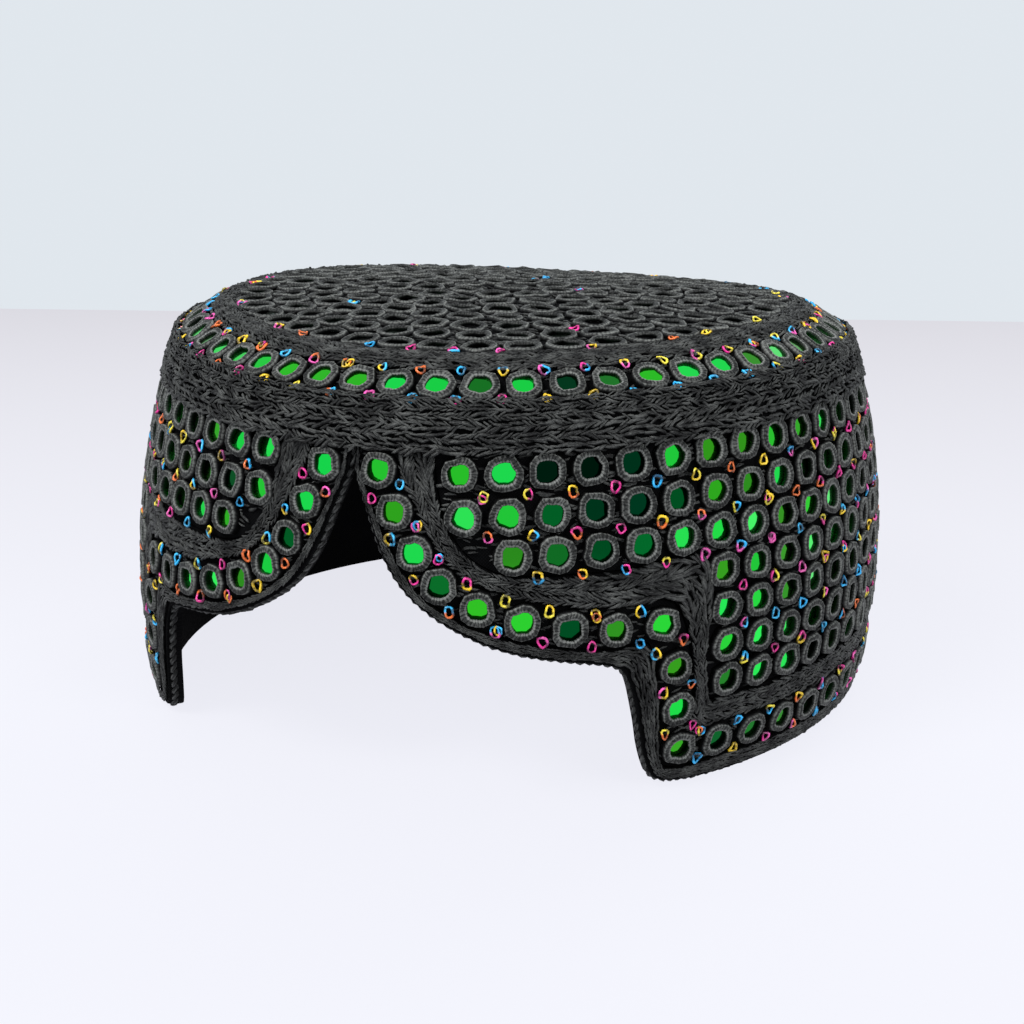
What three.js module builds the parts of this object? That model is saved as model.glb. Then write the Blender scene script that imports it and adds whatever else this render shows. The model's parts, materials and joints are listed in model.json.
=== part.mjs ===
// A mirror-work cap: round domed crown, sloping shoulder and an upright wall whose front is cut
// to an arch between two scalloped flaps. Millimetres, +Z up, the arch faces -Y, the rim stands
// on z = 0 round the Z axis. Depths are counted inwards from the tops of the embroidered rings.
import * as THREE from "three";
import { mergeVertices } from "three/addons/utils/BufferGeometryUtils.js";

// Body of the cap
const wallRadius = 94; // half-way up, where the wall is widest
const rimRadius = 91;
const ridgeRadius = 86.6; // where the wall turns into the shoulder
const ridgeHeight = 88;
const discRadius = 75; // where the shoulder turns into the crown's disc
const discHeight = 95.6;
const domeRise = 2.7; // of the disc's middle over its edge
const lengthOverWidth = 1.03;
const frontLift = 3.5; // the crown leans back by this much at the front and the back
const sideLift = 2.3; // and its sides stand this much over a level ring

// The cap is soft and stands a little askew
const crownTuck = 3.8; // the ridge is drawn in by this much all round,
const crownForward = 4.1; // pushed this far towards the front
const crownRight = 2.4; // and this far to the right
const rimLeft = 0.9; // the rim is pushed this far to the left
const legSplay = 1.6; // its left leg stands out by this much, and its right leg in

// Layers, as depths below the ring tops
const ringTop = 0;
const braidTop = 0.1;
const braidValley = 0.8;
const panelTop = 0.6;
const mirrorFace = 1.4;
const groundTop = 1.5;
const groundBase = 2.3;
const clothOuter = 3;
const clothInner = 5;

// Embroidered rings with a mirror in each
const ringRadius = 4.1;
const ringCrestRadius = 3.2;
const mirrorRadius = 2.4;
const ringSides = 10;
const shoulderMirrors = 57;
const shoulderPhase = 0.0297; // radians that the shoulder's mirrors are turned to the right
const stripHalfWidth = 4.4;
const seamGap = 0.35;
const edgeMargin = 0.4; // the rim braid keeps this far inside the cloth's cut edge
const stripBevel = 0.12; // share of a braid's width taken by each sloping side

// Distances up the shoulder's slope from the ridge
const ridgeMitre = 1.25; // where the back of the ridge braid ends
const crownFold = 1.2; // where the cloth turns down to the wall
const shoulderRowFrom = 1.6;
const shoulderRowTo = 10;

// Round the edge of the disc
const discBraidInner = 70.9;
const braidSplit = 0.6; // half the valley between the two rows of the disc's braid
const crownCorner = 0.5; // the cloth's outer corner reaches this far past the slope

// Heights on the wall
const wallTop = 83;
const panelTopHeight = 79.2;
const ridgeBraidFoot = 79.6;

// Counts of facets
const crownSides = 36;
const ridgeSides = 44;
const backSteps = 12; // from the last table row to the same row on the other side, twice over
const stepsPerRow = 2;

// The right half of the front, laid flat: x is the distance round the widest ring from the front
// centre, y the height. cut is the edge of the cloth, row the centre of a border mirror, and
// panel the outline of the mirror field. The left half is its mirror image.
const frontRows = [
  { cutX: 0.3, cutY: 79.2, rowX: 6.3, rowY: 79.2, panelX: 19.0, panelY: 79.2 },
  { cutX: 0.3, cutY: 74.5, rowX: 6.7, rowY: 74.1, panelX: 19.6, panelY: 73.5 },
  { cutX: 4.0, cutY: 64.6, rowX: 10.8, rowY: 65.8, panelX: 21.0, panelY: 67.0 },
  { cutX: 8.6, cutY: 54.2, rowX: 15.3, rowY: 57.5, panelX: 23.5, panelY: 61.0 },
  { cutX: 14.6, cutY: 46.7, rowX: 20.8, rowY: 50.8, panelX: 28.0, panelY: 56.0 },
  { cutX: 25.5, cutY: 39.7, rowX: 29.0, rowY: 46.0, panelX: 34.0, panelY: 53.2 },
  { cutX: 36.0, cutY: 35.6, rowX: 38.4, rowY: 43.0, panelX: 41.0, panelY: 52.6 },
  { cutX: 47.0, cutY: 33.3, rowX: 48.6, rowY: 41.0, panelX: 50.0, panelY: 52.6 },
  { cutX: 57.2, cutY: 31.5, rowX: 58.6, rowY: 40.0, panelX: 62.0, panelY: 52.6 },
  { cutX: 60.4, cutY: 30.0, rowX: 69.4, rowY: 39.9, panelX: 80.2, panelY: 52.6 },
  { cutX: 62.6, cutY: 25.6, rowX: 73.0, rowY: 29.5, panelX: 80.8, panelY: 32.0 },
  { cutX: 65.0, cutY: 16.6, rowX: 74.4, rowY: 19.5, panelX: 81.8, panelY: 23.5 },
  { cutX: 70.4, cutY: 2.2, rowX: 75.8, rowY: 9.4, panelX: 83.2, panelY: 20.0 },
  { cutX: 86.0, cutY: 0, rowX: 86.5, rowY: 9.4, panelX: 87.5, panelY: 20.0 },
];
const lastMirrorRow = 12; // rows 1 to 12 each hold a border mirror
const bandStart = lastMirrorRow * stepsPerRow + 1; // step where the border leaves the flap for the rim
const halfRound = Math.PI * wallRadius;

const materials = {
  cloth: new THREE.MeshStandardMaterial({ color: 0x1d1d1f, roughness: 0.95, metalness: 0 }),
  thread: new THREE.MeshStandardMaterial({ color: 0x2c2c2e, roughness: 0.85, metalness: 0 }),
  mirrorWork: new THREE.MeshStandardMaterial({ color: 0x2f5a34, roughness: 0.6, metalness: 0.2 }),
};

// Radius of the ring tops at a height on the wall: a curve through rim, middle and ridge
function wallRadiusAt(height) {
  const t = height / ridgeHeight;
  const rimShare = (1 - t) * (1 - 2 * t);
  const middleShare = 4 * t * (1 - t);
  const ridgeShare = t * (2 * t - 1);
  return rimRadius * rimShare + wallRadius * middleShare + ridgeRadius * ridgeShare;
}

// Turns angle from the front, radius and level height into a point of the oval, askew cap
function place(angle, radius, height) {
  const heightShare = Math.min(1, height / ridgeHeight);
  const radiusShare = Math.min(1, radius / ridgeRadius);
  const lean = frontLift * radiusShare * Math.cos(angle);
  const saddle = sideLift * radiusShare ** 2 * Math.cos(2 * angle);
  const crownShift = crownForward * Math.cos(angle) + crownRight * Math.sin(angle) - crownTuck;
  const rimShift = -rimLeft * Math.sin(angle) - legSplay * Math.sin(2 * angle);
  const shift = crownShift * heightShare ** 2 + rimShift * (1 - heightShare) ** 2;
  const reach = radius + shift * radiusShare;
  return new THREE.Vector3(
    reach * Math.sin(angle),
    -reach * lengthOverWidth * Math.cos(angle),
    height + heightShare * (lean - saddle),
  );
}

function onWall(x, y, depth) {
  return place(x / wallRadius, wallRadiusAt(y) - depth, y);
}

// The slope of the shoulder, from the ridge up to the disc's edge
const slope = new THREE.Vector2(discRadius - ridgeRadius, discHeight - ridgeHeight);
const slopeLength = slope.length();
slope.normalize();

// A point across the shoulder: along is the distance up the slope from the ridge
function shoulderSection(along, depth) {
  const radius = ridgeRadius + along * slope.x - depth * slope.y;
  const height = ridgeHeight + along * slope.y + depth * slope.x;
  return new THREE.Vector2(radius, height);
}

function discSection(radius, depth) {
  const rise = domeRise * (1 - (radius / discRadius) ** 2);
  return new THREE.Vector2(radius, discHeight + rise - depth);
}

function wallSection(height, depth) {
  return new THREE.Vector2(wallRadiusAt(height) - depth, height);
}

// Turns a geometry's faces outwards and leaves only welded positions
function closedSolid(geometry) {
  geometry.deleteAttribute("normal");
  geometry.deleteAttribute("uv");
  const welded = mergeVertices(geometry, 1e-4);
  const position = welded.getAttribute("position");
  const corners = [new THREE.Vector3(), new THREE.Vector3(), new THREE.Vector3()];
  const kept = [];
  let volume = 0;
  for (let i = 0; i < welded.index.count; i += 3) {
    const triple = [0, 1, 2].map((k) => welded.index.getX(i + k));
    if (new Set(triple).size < 3) continue;
    triple.forEach((vertex, k) => corners[k].fromBufferAttribute(position, vertex));
    volume += corners[0].dot(corners[1].clone().cross(corners[2]));
    kept.push(triple);
  }
  const turned = volume < 0 ? kept.map(([a, b, c]) => [a, c, b]) : kept;
  welded.setIndex(turned.flat());
  return welded;
}

// Joins equal outlines, one after another, into one solid: a closed loop or a capped length
function loft(outlines, isLoop) {
  const size = outlines[0].length;
  const positions = outlines.flat().flatMap((point) => point.toArray());
  const index = [];
  const spans = isLoop ? outlines.length : outlines.length - 1;
  for (let i = 0; i < spans; i += 1) {
    const next = (i + 1) % outlines.length;
    for (let j = 0; j < size; j += 1) {
      const a = i * size + j;
      const b = i * size + ((j + 1) % size);
      const c = next * size + j;
      const d = next * size + ((j + 1) % size);
      index.push(a, b, c, b, d, c);
    }
  }
  if (!isLoop) {
    // Each end is closed by a ladder of quads between the outline's two long sides
    const last = (outlines.length - 1) * size;
    for (let a = 0; a < size / 2 - 1; a += 1) {
      const b = a + 1;
      const c = size - 1 - b;
      const d = size - 1 - a;
      index.push(a, c, b, a, d, c);
      index.push(last + a, last + b, last + c, last + a, last + c, last + d);
    }
  }
  const geometry = new THREE.BufferGeometry();
  geometry.setAttribute("position", new THREE.Float32BufferAttribute(positions, 3));
  geometry.setIndex(index);
  return closedSolid(geometry);
}

// Revolves a section of radius and height, then gives it the cap's oval and lean
function revolve(section, sides) {
  const geometry = new THREE.LatheGeometry(section, sides);
  geometry.rotateX(Math.PI / 2);
  const position = geometry.getAttribute("position");
  for (let i = 0; i < position.count; i += 1) {
    const x = position.getX(i);
    const y = position.getY(i);
    const point = place(Math.atan2(x, -y), Math.hypot(x, y), position.getZ(i));
    position.setXYZ(i, point.x, point.y, point.z);
  }
  return closedSolid(geometry);
}

// Section across a braid: humps for its plaited rows over a flat back
function braidSection(surface, from, to, rows) {
  const points = [surface(from, groundBase), surface(from, braidValley)];
  for (let row = 0; row < rows; row += 1) {
    points.push(surface(THREE.MathUtils.lerp(from, to, (row + 0.5) / rows), braidTop));
    points.push(surface(THREE.MathUtils.lerp(from, to, (row + 1) / rows), braidValley));
  }
  points.push(surface(to, groundBase));
  return points;
}

// One of the three pattern lines, followed from the right of the arch round the back to its left
function patternLine(column) {
  const corners = frontRows.map((row) => new THREE.Vector3(row[`${column}X`], row[`${column}Y`], 0));
  const curve = new THREE.CatmullRomCurve3(corners, false, "centripetal");
  const points = curve.getPoints((corners.length - 1) * stepsPerRow);
  const right = points.map((point) => new THREE.Vector2(point.x, Math.max(0, point.y)));
  const start = right[right.length - 1];
  const back = [];
  for (let i = 1; i < 2 * backSteps; i += 1) {
    const x = THREE.MathUtils.lerp(start.x, 2 * halfRound - start.x, i / (2 * backSteps));
    back.push(new THREE.Vector2(x, start.y));
  }
  const left = right.map((point) => new THREE.Vector2(2 * halfRound - point.x, point.y));
  return [...right, ...back, ...left.reverse()];
}

const cutLine = patternLine("cut");
const rowLine = patternLine("row");
const panelLine = patternLine("panel");

// A line moved to the left of its direction, with mitred corners
function offsetLine(line, distance) {
  return line.map((point, i) => {
    const leftOf = (from, to) => new THREE.Vector2(from.y - to.y, to.x - from.x).normalize();
    const before = leftOf(line[Math.max(i - 1, 0)], line[Math.max(i, 1)]);
    const after = leftOf(line[Math.min(i, line.length - 2)], line[Math.min(i + 1, line.length - 1)]);
    const mitre = distance / (1 + before.dot(after));
    return point.clone().addScaledVector(before.add(after), mitre);
  });
}

// A strip lying on the wall between two lines, with its top narrower than its back
function wallStrip(nearLine, farLine, top) {
  const outlines = nearLine.map((near, i) => {
    const far = farLine[i];
    const nearTop = near.clone().lerp(far, stripBevel);
    const farTop = far.clone().lerp(near, stripBevel);
    return [
      onWall(near.x, near.y, groundBase),
      onWall(nearTop.x, nearTop.y, top),
      onWall(farTop.x, farTop.y, top),
      onWall(far.x, far.y, groundBase),
    ];
  });
  return loft(outlines, false);
}

function circleAround(centre, radius) {
  return Array.from({ length: ringSides }, (_, i) => {
    const turn = (2 * Math.PI * i) / ringSides;
    return new THREE.Vector2(radius * Math.cos(turn), radius * Math.sin(turn)).add(centre);
  });
}

// A strip of ground in cells with a near and a far edge. A cell with a centre carries a ring, fused
// to the ground, whose sunken floor is the mirror. surface turns flat points and a depth to solid.
function ringedStrip(cells, surface, isLoop) {
  const positions = [];
  const addFace = (...points) => {
    for (let i = 1; i < points.length - 1; i += 1) {
      [points[0], points[i], points[i + 1]].forEach((point) => positions.push(...point.toArray()));
    }
  };
  const lift = (point, depth) => surface(point.x, point.y, depth);
  const addFlat = (points, holes, depth, faceUp) => {
    const all = [...points, ...holes.flat()];
    for (const triangle of THREE.ShapeUtils.triangulateShape(points, holes)) {
      const corners = triangle.map((k) => all[k]);
      const isUp = THREE.ShapeUtils.area(corners) > 0;
      if (isUp !== faceUp) corners.reverse();
      addFace(...corners.map((point) => lift(point, depth)));
    }
  };
  const addWall = (from, to, lowDepth, highDepth, inner = from, innerTo = to) => {
    addFace(lift(from, lowDepth), lift(to, lowDepth), lift(innerTo, highDepth), lift(inner, highDepth));
  };
  cells.forEach(({ near, far, centre }, cell) => {
    const outline = [...near, ...[...far].reverse()];
    if (THREE.ShapeUtils.area(outline) < 0) throw new Error("a cell is wound the wrong way");
    const isShared = (edge) =>
      (edge === near.length - 1 && (isLoop || cell < cells.length - 1)) ||
      (edge === outline.length - 1 && (isLoop || cell > 0));
    outline.forEach((point, edge) => {
      if (!isShared(edge)) addWall(point, outline[(edge + 1) % outline.length], groundBase, groundTop);
    });
    addFlat(outline, [], groundBase, false);
    if (!centre) {
      addFlat(outline, [], groundTop, true);
      return;
    }
    const root = circleAround(centre, ringRadius);
    const crest = circleAround(centre, ringCrestRadius);
    const face = circleAround(centre, mirrorRadius);
    addFlat(outline, [root], groundTop, true);
    addFlat(face, [], mirrorFace, true);
    root.forEach((point, i) => {
      const next = (i + 1) % ringSides;
      addWall(point, root[next], groundTop, ringTop, crest[i], crest[next]);
      addWall(crest[i], crest[next], ringTop, mirrorFace, face[i], face[next]);
    });
  });
  const geometry = new THREE.BufferGeometry();
  geometry.setAttribute("position", new THREE.Float32BufferAttribute(positions, 3));
  return closedSolid(geometry);
}

// One half of the cloth wall, from the middle of the front round to the seam at the back. It stands
// on its rim and is cut away under the arch. Seen from the front, side is 1 for the right half and
// -1 for the left.
function wallHalf(side) {
  const firstCut = stepsPerRow; // rows above the arch's point belong to the braid alone
  const feet = cutLine.slice(firstCut, (cutLine.length - 1) / 2);
  feet.push(new THREE.Vector2(halfRound - seamGap / 2, 0));
  const levels = [0, 1 / 3, 2 / 3, 1];
  const outlines = feet.map((foot) => {
    const heightAt = (share) => THREE.MathUtils.lerp(foot.y, wallTop, share);
    const outer = levels.map((share) => onWall(side * foot.x, heightAt(share), clothOuter));
    const inner = levels.map((share) => onWall(side * foot.x, heightAt(share), clothInner));
    return [...outer, ...inner.reverse()];
  });
  return loft(outlines, false);
}

// The cloth crown: the disc and the shoulder in one curved sheet that meets the top of the wall
function crownShell() {
  const lowEdge = wallTop + seamGap;
  const ringsOut = [0, 1 / 3, 2 / 3].map((share) => share * discRadius);
  const outer = [
    ...ringsOut.map((radius) => discSection(radius, clothOuter)),
    shoulderSection(slopeLength + crownCorner, clothOuter),
    shoulderSection(crownFold, clothOuter),
    wallSection(lowEdge, clothOuter),
  ];
  const inner = [
    wallSection(lowEdge, clothInner),
    shoulderSection(crownFold, clothInner),
    shoulderSection(slopeLength, clothInner),
    ...ringsOut.reverse().map((radius) => discSection(radius, clothInner)),
  ];
  return revolve([...outer, ...inner], crownSides);
}

function discPanel() {
  const rim = discBraidInner - seamGap;
  const radii = [0, 0.35, 0.7, 1].map((share) => share * rim);
  const top = radii.map((radius) => discSection(radius, panelTop));
  const base = radii.map((radius) => discSection(radius, groundBase));
  return revolve([...top, ...base.reverse()], crownSides);
}

// Two plaited rows over the edge of the disc, the inner on the disc and the outer on the shoulder
function discBraid() {
  const foot = shoulderRowTo + seamGap;
  const onSlope = braidSection(shoulderSection, foot, slopeLength + braidSplit, 1);
  const onDisc = braidSection(discSection, discRadius - braidSplit, discBraidInner, 1);
  const corner = discSection(discRadius - braidSplit, groundBase);
  const section = [...onSlope.slice(0, -1), ...onDisc.slice(2), corner];
  return revolve([...section, section[0]], crownSides);
}

function shoulderRow() {
  const middle = (shoulderRowFrom + shoulderRowTo) / 2;
  const middleRadius = shoulderSection(middle, groundTop).x;
  const pitch = (2 * Math.PI * middleRadius) / shoulderMirrors;
  const surface = (x, along, depth) => {
    const point = shoulderSection(along, depth);
    return place(shoulderPhase + x / middleRadius, point.x, point.y);
  };
  const cells = Array.from({ length: shoulderMirrors }, (_, i) => {
    const edge = (along) => [i, i + 1].map((step) => new THREE.Vector2(step * pitch, along));
    const centre = new THREE.Vector2((i + 0.5) * pitch, middle);
    return { near: edge(shoulderRowFrom), far: edge(shoulderRowTo), centre };
  });
  return ringedStrip(cells, surface, true);
}

// Four plaited rows over the seam between the wall and the crown
function ridgeBraid() {
  const section = braidSection(wallSection, ridgeBraidFoot, ridgeHeight, 4);
  section[section.length - 1] = shoulderSection(ridgeMitre, groundBase);
  return revolve([...section, section[0]], ridgeSides);
}

// The ground of the wall's mirror rows, from one side of the arch round the back to the other
function mirrorField() {
  const first = 1; // the outline starts in a point at the top
  const outlines = panelLine.slice(first, panelLine.length - first).map((foot) => {
    const levels = [0, 1 / 3, 2 / 3, 1].map((share) => THREE.MathUtils.lerp(foot.y, panelTopHeight, share));
    const outer = levels.map((height) => onWall(foot.x, height, panelTop));
    const inner = levels.map((height) => onWall(foot.x, height, groundBase));
    return [...outer, ...inner.reverse()];
  });
  return loft(outlines, false);
}

function frameBraid() {
  const near = offsetLine(rowLine, stripHalfWidth + seamGap);
  return wallStrip(near, offsetLine(panelLine, -seamGap), braidTop);
}

// A length of the border, whose ground runs on round the rim. Its mirrors stand beside the arch.
function borderLength(from, to) {
  const fromEnd = (i) => Math.min(i, rowLine.length - 1 - i);
  const holdsMirror = (i) => {
    const row = fromEnd(i) / stepsPerRow;
    return Number.isInteger(row) && row >= 1 && row <= lastMirrorRow;
  };
  // The top mirror's cell reaches the end of the strip, so the first step is no seam
  const isSeam = (i) => fromEnd(i) === 0 || (fromEnd(i) > 1 && !holdsMirror(i));
  const near = offsetLine(rowLine, -stripHalfWidth);
  const far = offsetLine(rowLine, stripHalfWidth);
  const isBand = !holdsMirror(from + 1) && from > 0;
  for (const line of isBand ? [near, far] : []) {
    line[from] = line[from].clone().add(new THREE.Vector2(seamGap, 0));
    line[to] = line[to].clone().sub(new THREE.Vector2(seamGap, 0));
  }
  const seams = rowLine.map((_, i) => i).filter((i) => i >= from && i <= to && isSeam(i));
  const cells = seams.slice(1).map((end, k) => {
    const start = seams[k];
    const centre = rowLine.slice(start, end).find((_, step) => holdsMirror(start + step));
    return { near: near.slice(start, end + 1), far: far.slice(start, end + 1), centre };
  });
  return ringedStrip(cells, onWall, false);
}

function rimBraid() {
  const far = offsetLine(rowLine, -stripHalfWidth - seamGap);
  return wallStrip(offsetLine(cutLine, edgeMargin), far, braidTop);
}

const cap = new THREE.Group();

function add(name, geometry, material) {
  const mesh = new THREE.Mesh(geometry, material);
  mesh.name = name;
  cap.add(mesh);
}

add("side_wall_right", wallHalf(1), materials.cloth);
add("side_wall_left", wallHalf(-1), materials.cloth);
add("crown_shell", crownShell(), materials.cloth);
add("disc_panel", discPanel(), materials.mirrorWork);
add("disc_braid", discBraid(), materials.thread);
add("shoulder_row", shoulderRow(), materials.mirrorWork);
add("ridge_braid", ridgeBraid(), materials.thread);
add("mirror_field", mirrorField(), materials.mirrorWork);
add("frame_braid", frameBraid(), materials.thread);
add("border_right", borderLength(0, bandStart), materials.mirrorWork);
add("border_left", borderLength(rowLine.length - 1 - bandStart, rowLine.length - 1), materials.mirrorWork);
add("rim_band", borderLength(bandStart, rowLine.length - 1 - bandStart), materials.mirrorWork);
add("rim_braid", rimBraid(), materials.thread);

export default cap;
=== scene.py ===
import json
import math
import random

import bmesh
import bpy
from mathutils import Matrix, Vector, noise

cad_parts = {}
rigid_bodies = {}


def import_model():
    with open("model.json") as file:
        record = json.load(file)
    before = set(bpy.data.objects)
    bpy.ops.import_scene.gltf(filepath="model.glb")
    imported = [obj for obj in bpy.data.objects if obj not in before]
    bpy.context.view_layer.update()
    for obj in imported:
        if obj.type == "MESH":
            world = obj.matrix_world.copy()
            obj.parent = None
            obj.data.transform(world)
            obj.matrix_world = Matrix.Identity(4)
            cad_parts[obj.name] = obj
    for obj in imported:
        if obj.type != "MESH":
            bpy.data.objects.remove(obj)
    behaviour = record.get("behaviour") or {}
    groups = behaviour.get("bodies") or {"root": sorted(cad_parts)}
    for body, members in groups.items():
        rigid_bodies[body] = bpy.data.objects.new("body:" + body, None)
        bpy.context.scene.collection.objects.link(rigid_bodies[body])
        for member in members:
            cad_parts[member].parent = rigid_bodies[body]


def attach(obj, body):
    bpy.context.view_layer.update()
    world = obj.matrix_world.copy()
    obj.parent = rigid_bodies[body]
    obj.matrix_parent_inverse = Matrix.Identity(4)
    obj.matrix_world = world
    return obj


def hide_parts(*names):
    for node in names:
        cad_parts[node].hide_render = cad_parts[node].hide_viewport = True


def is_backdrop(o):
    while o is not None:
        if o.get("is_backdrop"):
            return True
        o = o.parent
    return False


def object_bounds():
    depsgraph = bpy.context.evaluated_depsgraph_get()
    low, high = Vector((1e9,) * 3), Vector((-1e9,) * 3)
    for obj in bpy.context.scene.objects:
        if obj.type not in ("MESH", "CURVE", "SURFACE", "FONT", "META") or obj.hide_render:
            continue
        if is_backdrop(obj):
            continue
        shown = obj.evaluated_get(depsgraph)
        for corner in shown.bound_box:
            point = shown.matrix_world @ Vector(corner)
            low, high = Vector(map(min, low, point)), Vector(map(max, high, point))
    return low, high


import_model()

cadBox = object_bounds()  # the solids' box, set beside the dressed cap's at the end
scene = bpy.context.scene
scene.view_settings.view_transform = "Standard"
mm = 0.001  # sizes below are in millimetres, and points are made in metres

# The cap's form, as its solids have it
cap = {
    "wallRadius": 94.0,  # half-way up, where the wall is widest
    "rimRadius": 91.0,
    "ridgeRadius": 86.6,  # where the wall turns into the shoulder
    "ridgeHeight": 88.0,
    "discRadius": 75.0,  # where the shoulder turns into the disc
    "discHeight": 95.6,
    "domeRise": 2.7,
    "lengthOverWidth": 1.03,
    "frontLift": 3.5,  # lean of the crown
    "sideLift": 2.3,  # and how far its sides stand up
    "crownTuck": 3.8,  # the cap stands a little askew: its ridge is drawn in by this much,
    "crownForward": 4.1,  # pushed to the front
    "crownRight": 2.4,  # and to the right,
    "rimLeft": 0.9,  # its rim is pushed to the left
    "legSplay": 1.6,  # and its left leg stands out
    "ringDepth": 2.0,  # of the ground between the rings, below their tops
    "discDepth": 1.3,  # and on the disc
    "plaitDepth": 1.5,  # of the backing under the plaits
    "clothOuter": 3.0,
    "clothInner": 5.0,
    "wallTop": 83.0,
    "fieldTop": 79.2,
    "stripHalfWidth": 4.4,
    "seam": 0.35,
    "sides": 144,  # of the sheets that run round it
}
halfRound = math.pi * cap["wallRadius"]

# Right half of the front laid flat, as (distance round the widest ring, height). cut is the edge
# of the cloth, row the centres of the border's mirrors and panel the outline of the mirror field.
frontRows = [
    {"cut": (0.3, 79.2), "row": (6.3, 79.2), "panel": (19.0, 79.2)},
    {"cut": (0.3, 74.5), "row": (6.7, 74.1), "panel": (19.6, 73.5)},
    {"cut": (4.0, 64.6), "row": (10.8, 65.8), "panel": (21.0, 67.0)},
    {"cut": (8.6, 54.2), "row": (15.3, 57.5), "panel": (23.5, 61.0)},
    {"cut": (14.6, 46.7), "row": (20.8, 50.8), "panel": (28.0, 56.0)},
    {"cut": (25.5, 39.7), "row": (29.0, 46.0), "panel": (34.0, 53.2)},
    {"cut": (36.0, 35.6), "row": (38.4, 43.0), "panel": (41.0, 52.6)},
    {"cut": (47.0, 33.3), "row": (48.6, 41.0), "panel": (50.0, 52.6)},
    {"cut": (57.2, 31.5), "row": (58.6, 40.0), "panel": (62.0, 52.6)},
    {"cut": (60.4, 30.0), "row": (69.4, 39.9), "panel": (80.2, 52.6)},
    {"cut": (62.6, 25.6), "row": (73.0, 29.5), "panel": (80.8, 32.0)},
    {"cut": (65.0, 16.6), "row": (74.4, 19.5), "panel": (81.8, 23.5)},
    {"cut": (70.4, 2.2), "row": (75.8, 9.4), "panel": (83.2, 20.0)},
    {"cut": (86.0, 0.0), "row": (86.5, 9.4), "panel": (87.5, 20.0)},
]
cornerRow = 12  # row of the table at the foot of the leg, the last that is given one by one


def wallRadiusAt(height):
    t = height / cap["ridgeHeight"]
    low = cap["rimRadius"] * (1 - t) * (1 - 2 * t)
    return low + cap["wallRadius"] * 4 * t * (1 - t) + cap["ridgeRadius"] * t * (2 * t - 1)


def place(angle, radius, height):
    heightShare = min(1, height / cap["ridgeHeight"])
    radiusShare = min(1, radius / cap["ridgeRadius"])
    lean = cap["frontLift"] * radiusShare * math.cos(angle)
    saddle = cap["sideLift"] * radiusShare**2 * math.cos(2 * angle)
    forward = cap["crownForward"] * math.cos(angle)
    crownShift = forward + cap["crownRight"] * math.sin(angle) - cap["crownTuck"]
    rimShift = -cap["rimLeft"] * math.sin(angle) - cap["legSplay"] * math.sin(2 * angle)
    shift = crownShift * heightShare**2 + rimShift * (1 - heightShare) ** 2
    reach = radius + shift * radiusShare
    x = reach * math.sin(angle)
    y = -reach * cap["lengthOverWidth"] * math.cos(angle)
    return Vector((x, y, height + heightShare * (lean - saddle))) * mm


slopeRun = cap["discRadius"] - cap["ridgeRadius"]
slopeRise = cap["discHeight"] - cap["ridgeHeight"]
slopeLength = math.hypot(slopeRun, slopeRise)
slopeMiddle = cap["ridgeRadius"] + slopeRun / 2  # radius that lengths round the shoulder are measured on


# The three surfaces take flat lengths and a depth below the ring tops
def onWall(x, y, depth):
    return place(x / cap["wallRadius"], wallRadiusAt(y) - depth, y)


def onShoulder(x, along, depth):
    radius = cap["ridgeRadius"] + (along * slopeRun - depth * slopeRise) / slopeLength
    height = cap["ridgeHeight"] + (along * slopeRise + depth * slopeRun) / slopeLength
    return place(x / slopeMiddle, radius, height)


def onDisc(x, y, depth):
    radius = math.hypot(x, y)
    rise = cap["domeRise"] * (1 - (radius / cap["discRadius"]) ** 2)
    return place(math.atan2(x, -y), radius, cap["discHeight"] + rise - depth)


def frameOn(surface, u, v, depth):
    step = 0.2  # to each side, to find how the surface runs
    sideways = surface(u + step, v, depth) - surface(u - step, v, depth)
    upwards = surface(u, v + step, depth) - surface(u, v - step, depth)
    outward = sideways.cross(upwards).normalized()
    return surface(u, v, depth), sideways.normalized(), outward


# Lines of flat points
def smoothLine(points, steps=3):
    ends = [2 * points[0] - points[1], *points, 2 * points[-1] - points[-2]]
    line = []
    for i in range(len(points) - 1):
        p0, p1, p2, p3 = ends[i : i + 4]
        d0, d1, d2 = [max(1e-4, (b - a).length) ** 0.5 for a, b in ((p0, p1), (p1, p2), (p2, p3))]
        out = ((p1 - p0) / d0 - (p2 - p0) / (d0 + d1) + (p2 - p1) / d1) * d1
        into = ((p2 - p1) / d1 - (p3 - p1) / (d1 + d2) + (p3 - p2) / d2) * d1
        for k in range(steps):
            t = k / steps
            bend = (3 * (p2 - p1) - 2 * out - into) * t**2 + (2 * (p1 - p2) + out + into) * t**3
            line.append(p1 + out * t + bend)
    return [*line, points[-1].copy()]


def patternLine(column):
    stepsPerRow = 2
    backSteps = 24
    right = smoothLine([Vector(row[column]) for row in frontRows], stepsPerRow)
    for point in right:
        point.y = max(0, point.y)
    start = right[-1]
    span = 2 * (halfRound - start.x)
    back = [Vector((start.x + span * i / backSteps, start.y)) for i in range(1, backSteps)]
    left = [Vector((2 * halfRound - point.x, point.y)) for point in reversed(right)]
    return [*right, *back, *left]


def offsetLine(line, distance):
    moved = []
    for i, point in enumerate(line):
        ahead = line[min(i + 1, len(line) - 1)] - line[min(i, len(line) - 2)]
        behind = line[max(i, 1)] - line[max(i - 1, 0)]
        before = Vector((-behind.y, behind.x)).normalized()
        after = Vector((-ahead.y, ahead.x)).normalized()
        moved.append(point + (before + after) * distance / (1 + before.dot(after)))
    return moved


def evenLine(line, step):
    steps = [(b - a).length for a, b in zip(line, line[1:])]
    count = max(2, round(sum(steps) / step))
    pitch = sum(steps) / count
    even = [line[0].copy()]
    travelled = 0.0
    for a, length, b in zip(line, steps, line[1:]):
        while len(even) <= count and len(even) * pitch <= travelled + length + 1e-6:
            share = min(1, (len(even) * pitch - travelled) / max(length, 1e-9))
            even.append(a.lerp(b, share))
        travelled += length
    return even


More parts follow.
